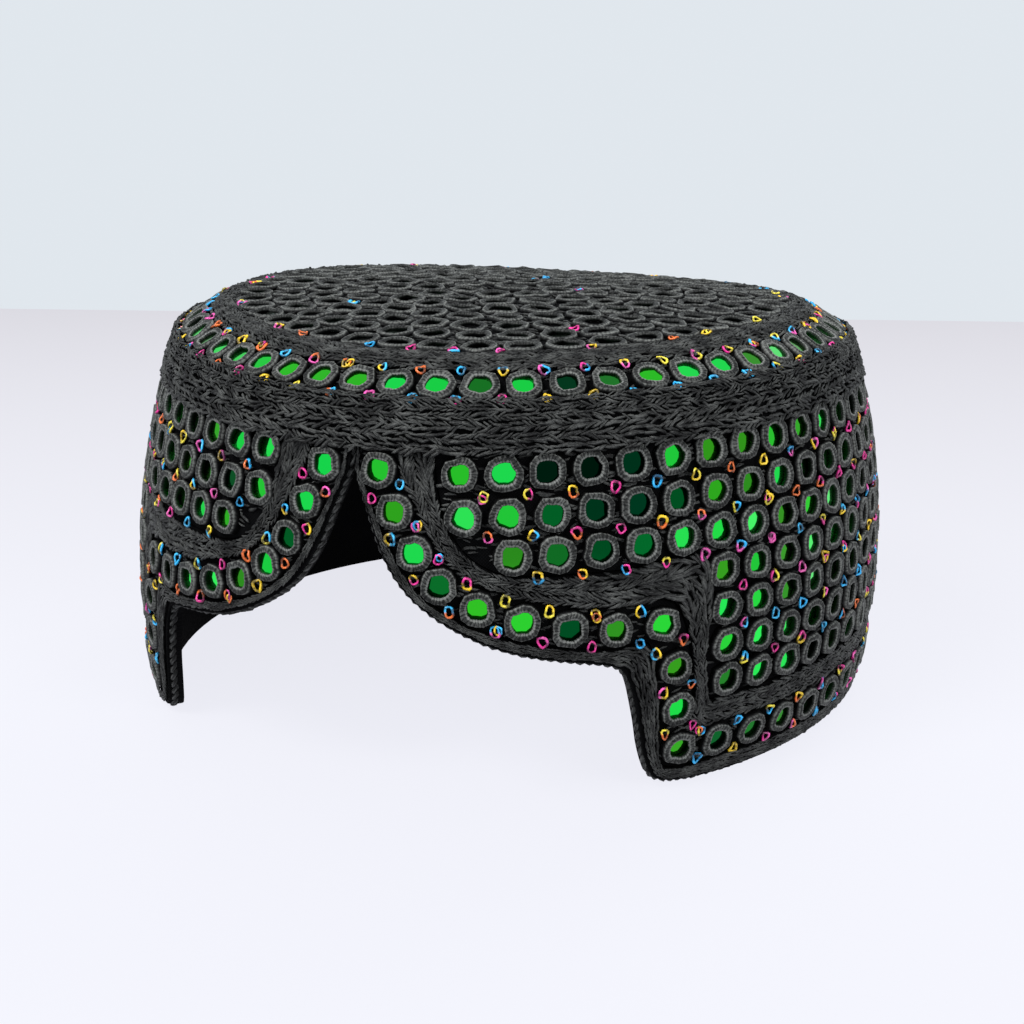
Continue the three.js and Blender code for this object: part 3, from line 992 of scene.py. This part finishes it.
loop = {
    "across": 0.88,  # half its width, to the middle of the thread
    "upward": 1.08,
    "thread": 0.28,
    "depth": 0.5,  # of its middle below the ring tops
    "steps": 12,
    "sectionPoints": 5,
    "variants": 4,
    "tints": {
        "cyan": (0.01, 0.36, 0.72),
        "sky": (0.03, 0.42, 0.75),
        "magenta": (0.65, 0.02, 0.24),
        "yellow": (0.75, 0.5, 0.012),
        "lemon": (0.72, 0.6, 0.04),
        "orange": (0.65, 0.13, 0.02),
        "pink": (0.7, 0.08, 0.36),
    },
    "twoColoured": 0.7,
    "doubled": 0.14,  # share of places with a second, smaller loop
    "secondSize": 0.75,
    "turn": 26.0,
    "tilt": 12.0,
    "spread": 0.13,
    "push": 0.25,
    "pushSize": 1.6,
}


def loopShape(name, seed):
    # A rounded square of thread, one half of it in each colour
    chance = random.Random(seed)
    stations = []
    halves = []
    start = chance.randrange(loop["steps"])
    for i, angle in enumerate(turns(loop["steps"])):
        cosine = math.cos(angle)
        sine = math.sin(angle)
        bulge = (cosine**4 + sine**4) ** -0.25 * chance.uniform(0.88, 1.1)
        rise = 0.25 * math.sin(angle * 2 + seed)
        x = loop["across"] * bulge * cosine
        centre = Vector((x, loop["upward"] * bulge * sine, rise - loop["depth"]))
        out = Vector((cosine, sine, 0))
        section = []
        for turn in turns(loop["sectionPoints"]):
            inward = out * math.cos(turn) - Vector((0, 0, math.sin(turn)))
            section.append((centre - inward * loop["thread"]) * mm)
            halves.append(1.0 if (i + start) % loop["steps"] < loop["steps"] / 2 else 0.0)
        stations.append(section)
    shape = tubeLoop(name, stations, loop["sectionPoints"])
    setAttribute(shape, "half", "FLOAT", halves)
    return shape


stitch = {
    "length": 3.7,
    "width": 0.82,
    "height": 0.66,
    "bend": 0.16,
    "endDepth": 0.2,
    "stations": (-0.62, 0.0, 0.62),
    "sectionPoints": 5,
    "variants": 4,
    "rowWidth": 2.4,  # of a row whose stitches have these sizes
    "pitch": 1.3,  # along a row
    "ridgeRadius": 84,  # about, for the number of stitches round the ridge and the shoulder
    "aside": 0.46,  # of a row's half width, from its middle to each side's stitches
    "depth": 0.85,
    "ridgeDepth": -0.3,  # the ridge's rows stand proud
    "ways": {  # slope to the row, to one side and the other, in degrees, and strays from it
        "loose": {"slope": 17.0, "turn": 24.0, "tilt": 13.0, "push": 0.55},
        "even": {"slope": 19.0, "turn": 14.0, "tilt": 9.0, "push": 0.45},
        "edge": {"slope": 9.0, "turn": 7.0, "tilt": 4.0, "push": 0.3},
    },
    "spread": 0.3,
    "pushSize": 2.4,
}


def stitchShape(name, seed):
    # A short bundle of thread, pointed at both ends
    chance = random.Random(seed)
    bend = chance.uniform(-1, 1) * stitch["bend"]
    count = stitch["sectionPoints"]
    half = stitch["length"] / 2
    points = [(-half, 0, -stitch["endDepth"])]
    for station in stitch["stations"]:
        girth = (1 - station**2) ** 0.6 * chance.uniform(0.85, 1.1)
        for turn in turns(count, 0.5):
            y = math.cos(turn) * stitch["width"] / 2 * girth + bend * (1 - station**2) * 2
            points.append((station * half, y, math.sin(turn) * stitch["height"] / 2 * girth))
    points.append((half, 0, -stitch["endDepth"]))
    last = len(points) - 1
    faces = []
    for k in range(count):
        j = (k + 1) % count
        faces.append([0, 1 + j, 1 + k])
        faces.append([last, last - count + k, last - count + j])
        for i in range(len(stitch["stations"]) - 1):
            a = 1 + i * count
            faces.append([a + k, a + j, a + count + j, a + count + k])
    shape = meshObject(name, [Vector(point) * mm for point in points], faces)
    setAttribute(shape, "local", "FLOAT_VECTOR", points)
    return shape


def ringSet(name, section):
    return shapeSet(name, lambda label, seed: ringShape(label, seed, section), ring["variants"])


def mirrorSet(name, depth):
    return shapeSet(name, lambda label, _: mirrorShape(label, depth))


ringShapes = ringSet("ringShapes", ring["section"])
discRingShapes = ringSet("discRingShapes", ring["flatSection"])
mirrorShapes = mirrorSet("mirrorShapes", mirror["depth"])
shoulderMirrorShapes = mirrorSet("shoulderMirrorShapes", mirror["shoulderDepth"])
discMirrorShapes = mirrorSet("discMirrorShapes", mirror["discDepth"])
loopShapes = shapeSet("loopShapes", loopShape, loop["variants"])
stitchShapes = shapeSet("stitchShapes", stitchShape, stitch["variants"])


def localSize(surface, u, v):
    # Rings shrink a little where the cap is narrower than its pattern
    across = (surface(u + 0.5, v, 0) - surface(u - 0.5, v, 0)).length / mm
    along = (surface(u, v + 0.5, 0) - surface(u, v - 0.5, 0)).length / mm
    return min(1.0, 1.07 * min(across, along))


def framedPoints(name, frames, sizes):
    # Loose points, each with its sideways and outward direction and its size
    points, sideways, outward = zip(*frames)
    base = meshObject(name, points, [])
    setAttribute(base, "sideways", "FLOAT_VECTOR", sideways)
    setAttribute(base, "outward", "FLOAT_VECTOR", outward)
    setAttribute(base, "size", "FLOAT", sizes)
    return base


def pointsOn(name, places, sizes=None):
    frames = [frameOn(*place, 0.0) for place in places]
    return framedPoints(name, frames, sizes or [localSize(*place) for place in places])


def setShapes(base, shapes, kind, seed, material, replaced=(), smooth=True):
    values = {
        "Shapes": shapes,
        "Turn": math.radians(kind["turn"]),
        "Tilt": math.radians(kind["tilt"]),
        "Spread": kind["spread"],
        "Push": kind["push"] * mm,
        "Push Size": kind["pushSize"] * mm,
        "Seed": seed,
        "Smooth": smooth,
        "Material": material,
    }
    return finishPiece(grow(base, scatter, values), replaced)


def addRings(name, places, seed, shapes=ringShapes, kind=ring):
    return setShapes(pointsOn(name, places), shapes, kind, seed, ringThread)


# Painted reflection: how bright a mirror is painted, with dull patches and a random spread
def mirrorReflectionShade(x, height, chance):
    shade = mirror["shade"] + chance.gauss(0, 1) * mirror["shadeSpread"]
    for patch in mirror["patches"]:
        away = math.hypot(x - patch["place"][0], height - patch["place"][1]) / patch["reach"]
        shade += patch["change"] * max(0, min(1, 2 - 2 * away))
    back = mirror["back"]
    if back["from"] < x < back["to"]:
        shade += back["change"] * noise.noise(Vector((x, height, 0)) / back["reach"])
    return max(0, min(mirror["palest"], shade))


def addMirrors(name, places, seed, shades, shapes=mirrorShapes):
    # Flat faces: smooth ones would make beads of the mirrors
    base = pointsOn(name, places)
    setAttribute(base, "shade", "FLOAT", shades)
    return setShapes(base, shapes, mirror, seed, greenMirror, smooth=False)


def wallReflectionShades(places, seed):
    chance = random.Random(seed)
    return [mirrorReflectionShade(x, height, chance) for _, x, height in places]


def addLoops(name, places, seed):
    chance = random.Random(seed)
    tints = list(loop["tints"].values())
    seconds = []
    for surface, u, v in places:
        if chance.random() < loop["doubled"]:
            turn = chance.uniform(0, 2 * math.pi)
            reach = chance.uniform(0.4, 0.9)
            seconds.append((surface, u + reach * math.cos(turn), v + reach * math.sin(turn)))
    sizes = [1.0] * len(places) + [loop["secondSize"]] * len(seconds)
    base = pointsOn(name, [*places, *seconds], sizes)
    first = [chance.choice(tints) for _ in sizes]
    second = [chance.choice(tints) if chance.random() < loop["twoColoured"] else tint for tint in first]
    setAttribute(base, "tintA", "FLOAT_COLOR", [(*tint, 1) for tint in first])
    setAttribute(base, "tintB", "FLOAT_COLOR", [(*tint, 1) for tint in second])
    return setShapes(base, loopShapes, loop, seed, colouredThread)


# The mirror field: columns spread a little towards the back as they go down
field = {
    "heights": (75.3, 66.6, 58.2, 49.6, 41.0, 32.5, 24.1),
    "columns": 58,
    "firstAngle": 14.7,
    "shift": 0.5,
    "slant": 0.023,
    "shortRows": 3,  # rows that run on over the flaps
    "longColumns": (6, 51),  # first and last column of the rows below them
    "dip": 1.4,  # of the short rows near the front on the right
    "dipFrom": 15,  # degrees from the front, where it starts to die away
    "dipReach": 36,
    "lowerLoop": 0.52,  # of a row, down to the loops under the last short one
}
lastColumn = field["columns"] - 1
lastRow = len(field["heights"]) - 1


def fieldPlace(column, row):
    level = field["firstAngle"] + (360 - 2 * field["firstAngle"]) * column / lastColumn
    angle = 180 - (180 - level) * (1 - field["slant"] * row / lastRow) + field["shift"]
    lower = math.floor(row)
    upper = min(lower + 1, lastRow)
    height = field["heights"][lower] + (field["heights"][upper] - field["heights"][lower]) * (row - lower)
    fromFront = max(0, angle - field["dipFrom"]) / field["dipReach"]
    dip = field["dip"] * max(0, 1 - fromFront) if angle < 180 else 0
    return onWall, math.radians(angle) * cap["wallRadius"], height - dip


def fieldColumns(row):
    if row < field["shortRows"] - 1:
        return range(0, lastColumn + 1)
    if row < field["shortRows"]:
        return range(1, lastColumn)
    return range(field["longColumns"][0], field["longColumns"][1] + 1)


print("mirror field")
fieldPlaces = [fieldPlace(column, row) for row in range(lastRow + 1) for column in fieldColumns(row)]
addRings("field_rings_right", [place for place in fieldPlaces if place[1] < halfRound], 11)
addRings("field_rings_left", [place for place in fieldPlaces if place[1] >= halfRound], 12)
addMirrors("field_mirrors", fieldPlaces, 13, wallReflectionShades(fieldPlaces, 13))
fieldLoops = []
for row in range(lastRow + 1):
    present = fieldColumns(row)
    below = fieldColumns(row + 1) if row < lastRow else []
    for column in present[:-1]:
        inFront = row == field["shortRows"] - 1 and column not in below
        if column in below or column + 1 in below or inFront:
            fieldLoops.append(fieldPlace(column + 0.5, row + (field["lowerLoop"] if inFront else 0.5)))
addLoops("field_loops", fieldLoops, 14)

# The border: listed one by one beside the arch, then evenly round the rim
border = {
    "between": 41,  # mirrors between the two that stand at the legs' feet
    "shade": 0.9,  # of the shades in the field, so the border's painted reflections are duller
    "loopReach": 3.5,
}


def borderPlaces():
    right = [Vector(row["row"]) for row in frontRows[1 : cornerRow + 1]]
    corner = right[-1]
    steps = border["between"] + 1
    span = 2 * (halfRound - corner.x)
    back = [Vector((corner.x + span * i / steps, corner.y)) for i in range(1, steps)]
    left = [Vector((2 * halfRound - point.x, point.y)) for point in reversed(right)]
    return [*right, *back, *left]


print("border")
borderMiddles = borderPlaces()
borderRings = [(onWall, point.x, point.y) for point in borderMiddles]
addRings("border_rings", borderRings, 21)
borderReflectionShades = [border["shade"] * shade for shade in wallReflectionShades(borderRings, 22)]
addMirrors("border_mirrors", borderRings, 22, borderReflectionShades)
borderLoops = []
for a, b in zip(borderMiddles, borderMiddles[1:]):
    ahead = (b - a).normalized()
    aside = Vector((-ahead.y, ahead.x))
    for reach in (-border["loopReach"], border["loopReach"]):
        point = (a + b) / 2 + aside * reach
        borderLoops.append((onWall, point.x, point.y))
addLoops("border_loops", borderLoops, 23)

shoulder = {
    "mirrors": 57,
    "phase": 0.0297,
    "middle": (shoulderFrom + shoulderTo) / 2,
    "loopReach": 4.1,
    "shadeHeight": 95,  # where its mirrors lie among the wall's patches of painted reflection
}


def shoulderPlace(step, along):
    angle = shoulder["phase"] + 2 * math.pi * (step + 0.5) / shoulder["mirrors"]
    return onShoulder, angle * slopeMiddle, along


print("shoulder")
shoulderPlaces = [shoulderPlace(i, shoulder["middle"]) for i in range(shoulder["mirrors"])]
addRings("shoulder_rings", shoulderPlaces, 31)
widened = cap["wallRadius"] / slopeMiddle
raised = [(onShoulder, x * widened, shoulder["shadeHeight"]) for _, x, _ in shoulderPlaces]
addMirrors("shoulder_mirrors", shoulderPlaces, 32, wallReflectionShades(raised, 32), shoulderMirrorShapes)
shoulderLoops = [
    shoulderPlace(i + 0.5, shoulder["middle"] + side * shoulder["loopReach"])
    for i in range(shoulder["mirrors"])
    for side in (-1, 1)
]
addLoops("shoulder_loops", shoulderLoops, 33)

disc = {
    "circles": [(66.4, 45), (57.6, 39), (48.7, 33), (39.8, 27), (30.8, 21), (21.8, 14), (12.4, 8), (0.0, 1)],
    "edgeLoops": {"chance": 0.6, "out": 3.4},  # beside the first circle
    "loops": {"chance": 0.03, "out": -4.4},
    "push": 0.7,  # of its rings
    "shades": (0.0, 0.36),  # of its mirrors, painted dark as painted shade in their holes
}


def discPlaces():
    chance = random.Random(41)
    rings = []
    loops = []
    for circle, (radius, count) in enumerate(disc["circles"]):
        kind = disc["loops"] if circle else disc["edgeLoops"]
        for angle in turns(count, 0.5 * (circle % 2)):
            rings.append((onDisc, radius * math.sin(angle), -radius * math.cos(angle)))
            between = angle + math.pi / count
            if radius > 0 and chance.random() < kind["chance"]:
                out = radius + kind["out"]
                loops.append((onDisc, out * math.sin(between), -out * math.cos(between)))
    return rings, loops


print("disc")
discRings, discLoops = discPlaces()
addRings("disc_rings", discRings, 42, discRingShapes, {**ring, "push": disc["push"]})
discChance = random.Random(43)
# Painted shade: the disc's mirrors are painted dark, for the shade deep in their holes
discShades = [discChance.uniform(*disc["shades"]) for _ in discRings]
addMirrors("disc_mirrors", discRings, 43, discShades, discMirrorShapes)
addLoops("disc_loops", discLoops, 44)


# Rows of (surface, u, v, half width), between two flat lines or round the cap
def rowsBetween(nearLine, farLine, shares):
    near = smoothLine(nearLine)
    far = smoothLine(farLine)
    lines = []
    for low, high in zip(shares, shares[1:]):
        middle = (low + high) / 2
        half = (high - low) / 2
        line = [Vector((*a.lerp(b, middle), (b - a).length * half)) for a, b in zip(near, far)]
        lines.append([(onWall, point.x, point.y, point.z) for point in evenLine(line, stitch["pitch"])])
    return lines


def rowsRound(surface, start, widths):
    # One row beside the other, from a start on the cap's section
    lines = []
    for width in widths:
        v = start + width / 2
        start += width
        half = abs(width) / 2
        if surface == onDisc:
            count = round(2 * math.pi * abs(v) / stitch["pitch"])
            lines.append([(surface, v * math.sin(u), -v * math.cos(u), half) for u in turns(count)])
        else:
            count = round(2 * math.pi * stitch["ridgeRadius"] / stitch["pitch"])
            turned = cap["wallRadius"] if surface == onWall else slopeMiddle
            lines.append([(surface, u * turned, v, half) for u in turns(count)])
    return lines


def framesAlong(line, depth, isLoop):
    # Frames that face along a line
    frames = [frameOn(surface, u, v, depth) for surface, u, v, _ in line]
    last = len(frames) - 1
    for i, (point, _, outward) in enumerate(frames):
        ahead = frames[(i + 1) % len(frames) if isLoop else min(i + 1, last)][0]
        behind = frames[i - 1 if isLoop else max(i - 1, 0)][0]
        yield point, (ahead - behind).normalized(), outward


# The binding is a plait of three strands along the cut edge
binding = {
    "offset": 0.8,  # from the edge of the cloth
    "reach": 1.3,
    "depth": 2.9,
    "step": 0.72,
    "periodPerWidth": 2.5,
    "strandShare": 0.46,
    "lift": 0.8,
    "unevenness": 0.9,
    "push": 0.26,
    "pushSize": 1.9,
    "sides": 5,
}


def addBinding(name):
    edge = evenLine(smoothLine(offsetLine(cutLine, binding["offset"])), binding["step"])
    line = [(onWall, p.x, p.y, binding["reach"]) for p in edge]
    count = len(line)
    points, alongs, outward = zip(*framesAlong(line, binding["depth"], False))
    periods = round(count * binding["step"] / (2 * binding["reach"] * binding["periodPerWidth"]))
    start = random.Random(1).random()
    base = meshObject(name, points, [], [(i, i + 1) for i in range(count - 1)])
    setAttribute(base, "run", "FLOAT", [start + i * periods / count for i in range(count)])
    setAttribute(base, "reach", "FLOAT", [binding["reach"] * mm] * count)
    setAttribute(base, "across", "FLOAT_VECTOR", [out.cross(along) for along, out in zip(alongs, outward)])
    setAttribute(base, "outward", "FLOAT_VECTOR", outward)
    values = {
        "Period": 1.0,
        "Strand Share": binding["strandShare"],
        "Lift": binding["lift"],
        "Unevenness": binding["unevenness"],
        "Push": binding["push"] * mm,
        "Push Size": binding["pushSize"] * mm,
        "Sides": binding["sides"],
        "Smooth": True,
        "Material": plaitThread,
    }
    return finishPiece(grow(base, plait, values))


def setStitches(name, frames, sizes, seed, way="loose", replaced=()):
    kind = {**stitch, **stitch["ways"][way]}
    base = framedPoints(name, frames, sizes)
    return setShapes(base, stitchShapes, kind, seed, stitchThread, replaced)


# Rows of stitches that lean to one side and the other, like the two halves of a plait
def addStitches(name, lines, isLoop, replaced, way, depth=stitch["depth"]):
    frames = []
    sizes = []
    slope = math.radians(stitch["ways"][way]["slope"])
    for row, line in enumerate(lines):
        for (point, along, outward), (_, _, _, half) in zip(framesAlong(line, depth, isLoop), line):
            across = outward.cross(along)
            reach = half * mm
            for side in (-1, 1):
                lean = slope * side * (1 if row % 2 else -1)
                aside = across * reach * side * stitch["aside"]
                spot = point + aside + along * side * stitch["pitch"] * mm / 4
                frames.append((spot, along * math.cos(lean) + across * math.sin(lean), outward))
                sizes.append(0.35 + 0.65 * 2 * half / stitch["rowWidth"])
    return setStitches(name, frames, sizes, len(lines), way, replaced)


print("plaits")
ridgeRows = [*rowsRound(onWall, 77.9, (2.2, 2.4, 2.3, 1.7, 1.5)), *rowsRound(onShoulder, -0.1, (1.5,))]
addStitches("ridge_plaits", ridgeRows, True, ("ridge_braid",), "loose", stitch["ridgeDepth"])
discRows = [*rowsRound(onShoulder, 10.2, (1.9, 1.9)), *rowsRound(onDisc, 75.0, (-2.0, -1.7, -1.3))]
addStitches("disc_plaits", discRows, True, ("disc_braid",), "loose")
frameRows = rowsBetween(frameNear, frameFar, (0, 0.34, 0.66, 1))
addStitches("frame_plaits", frameRows, False, ("frame_braid",), "even")
edgeRows = rowsBetween(offsetLine(cutLine, 1.2), edgeFar, (0, 0.3, 0.62, 1))
addStitches("edge_plaits", edgeRows, False, ("rim_braid",), "edge")
addBinding("edge_binding")

# Loose stitches that cover the grounds between the rings
cover = {
    "spacing": 2.1,  # between stitches, on the average
    "clear": 3.7,  # from a ring's middle
    "depth": 1.75,
    "discDepth": 1.05,
    "discReach": 70,
    "foot": 20,  # lowest place on the field
    "size": 0.85,
}


def addCover(name, surface, spots, rings, seed, depth=cover["depth"]):
    frames = []
    for u, v in spots:
        if all(abs(u - x) > cover["clear"] or math.hypot(u - x, v - y) > cover["clear"] for _, x, y in rings):
            frames.append(frameOn(surface, u, v, depth))
    return setStitches(name, frames, [cover["size"]] * len(frames), seed)


def stitchCount(area):
    return area / cover["spacing"] ** 2


def panelFoot(x):
    for a, b in zip(panelLine, panelLine[1:]):
        if a.x <= x <= b.x:
            return a.y + (b.y - a.y) * (x - a.x) / max(1e-6, b.x - a.x)
    return cap["ridgeHeight"]


def fieldSpots():
    chance = random.Random(51)
    low = panelLine[0].x + 1
    high = panelLine[-1].x - 1
    for _ in range(round(stitchCount((high - low) * (cap["fieldTop"] - cover["foot"])))):
        x = chance.uniform(low, high)
        y = chance.uniform(cover["foot"], cap["fieldTop"] - 1)
        if y > panelFoot(x) + 0.8:
            yield x, y


def stripSpots():
    chance = random.Random(52)
    near = smoothLine(borderNear)
    for a, b, c in zip(near, near[1:], smoothLine(borderFar)):
        count = stitchCount((b - a).length * (c - a).length)
        for _ in range(math.floor(count + chance.random())):
            spot = a.lerp(b, chance.random()).lerp(c, chance.uniform(0.06, 0.94))
            yield spot.x, spot.y


def shoulderSpots():
    chance = random.Random(53)
    lap = 2 * math.pi * slopeMiddle
    for _ in range(round(stitchCount(lap * (shoulderTo - shoulderFrom)))):
        yield chance.uniform(0, lap), chance.uniform(shoulderFrom + 0.5, shoulderTo - 0.5)


def discSpots():
    chance = random.Random(57)
    for _ in range(round(stitchCount(math.pi * cover["discReach"] ** 2))):
        radius = cover["discReach"] * math.sqrt(chance.random())
        angle = chance.uniform(0, 2 * math.pi)
        yield radius * math.cos(angle), radius * math.sin(angle)


print("stitches on the grounds")
addCover("field_stitches", onWall, fieldSpots(), fieldPlaces, 54)
addCover("border_stitches", onWall, stripSpots(), borderRings, 55)
addCover("shoulder_stitches", onShoulder, shoulderSpots(), shoulderPlaces, 56)
addCover("disc_stitches", onDisc, discSpots(), discRings, 58, cover["discDepth"])

# Floor, light and camera. Places and sizes are in metres here, and turns in degrees.
stage = {
    "reach": 0.47,  # from the cap's middle to the floor's edges
    "turn": 17.6,
    "height": -0.0002,
    "floorColour": (0.02, 0.02, 0.02),
    "floorRoughness": 0.8,
    "farGlow": (0.61, 0.6, 0.65),  # the table glows as though lit from below, so shadows stay light: painted light, dimmer far off than near
    "nearGlow": (0.825, 0.83, 0.9),
    "worldColour": (0.75, 0.8, 0.85),
    "worldStrength": 1.0,
    "aim": (0, 0, 0.05),
    "lightSize": 0.5,
    "lights": [
        {"name": "key_light", "power": 22.0, "place": (-0.45, -0.75, 1.2), "mirrored": True},
        {"name": "side_light", "power": 9.0, "place": (1.1, -0.5, 0.7), "mirrored": True},
        {"name": "top_light", "power": 25.0, "place": (0.3, 1.05, 0.95), "mirrored": False},
    ],
}
camera = {
    "azimuth": 21.5,
    "distance": 0.45,
    "height": 0.1774,
    "pitch": 17.13,
    "lens": 63.5,  # millimetres, and so is the sensor
    "sensor": 36.0,
}


def makeFloor():
    turn = math.radians(stage["turn"])
    reach = stage["reach"] * math.sqrt(2)
    angles = [turn + math.radians(45 + 90 * i) for i in range(4)]
    corners = [(reach * math.cos(angle), reach * math.sin(angle), stage["height"]) for angle in angles]
    floor = meshObject("floor", corners, [[0, 1, 2, 3]])
    material, calc = newMaterial("floorPaint")
    shader = material.node_tree.nodes["Principled BSDF"]
    shader.inputs["Base Color"].default_value = (*stage["floorColour"], 1)
    shader.inputs["Roughness"].default_value = stage["floorRoughness"]
    x, y, _ = axesOf(material, newNode(material, "ShaderNodeTexCoord").outputs["Object"])
    # Painted light: the floor's glow fades from its near edge to its far one
    nearness = calc("MULTIPLY_ADD", y, -math.cos(turn), calc("MULTIPLY", x, math.sin(turn)))
    shade = calc("MULTIPLY_ADD", nearness, 0.5 / stage["reach"], 0.5)
    glow = rampNode(material, shade, [(0.0, stage["farGlow"]), (0.55, stage["nearGlow"])])
    wire(material, glow, shader.inputs["Emission Color"])
    shader.inputs["Emission Strength"].default_value = 1.0
    floor.data.materials.append(material)
    floor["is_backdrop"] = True


def makeLight(look):
    light = bpy.data.lights.new(look["name"], "AREA")
    light.energy = look["power"]
    light.size = stage["lightSize"]
    lamp = bpy.data.objects.new(look["name"], light)
    lamp.visible_glossy = look["mirrored"]  # the top light would glare in the shoulder's mirrors
    lamp.location = look["place"]
    lamp.rotation_euler = (Vector(stage["aim"]) - lamp.location).to_track_quat("-Z", "Y").to_euler()
    scene.collection.objects.link(lamp)


def makeWorld():
    world = bpy.data.worlds.new("studio")
    world.use_nodes = True
    background = world.node_tree.nodes["Background"]
    background.inputs["Color"].default_value = (*stage["worldColour"], 1)
    background.inputs["Strength"].default_value = stage["worldStrength"]
    scene.world = world


def makeCamera():
    data = bpy.data.cameras.new("camera")
    data.sensor_width = camera["sensor"]
    data.lens = camera["lens"]
    data.clip_start = 0.01
    data.clip_end = 20
    eye = bpy.data.objects.new("camera", data)
    turn = math.radians(camera["azimuth"])
    distance = camera["distance"]
    eye.location = (math.sin(turn) * distance, -math.cos(turn) * distance, camera["height"])
    eye.rotation_euler = (math.radians(90 - camera["pitch"]), 0, turn)
    scene.collection.objects.link(eye)
    scene.camera = eye


print("floor, light and camera")
makeFloor()
for look in stage["lights"]:
    makeLight(look)
makeWorld()
makeCamera()

for collection in shapeSets:
    for shape in list(collection.objects):
        bpy.data.objects.remove(shape)
    bpy.data.collections.remove(collection)

boxes = {"cad": cadBox, "dressed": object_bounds()}
{name: [list(corner) for corner in box] for name, box in boxes.items()}
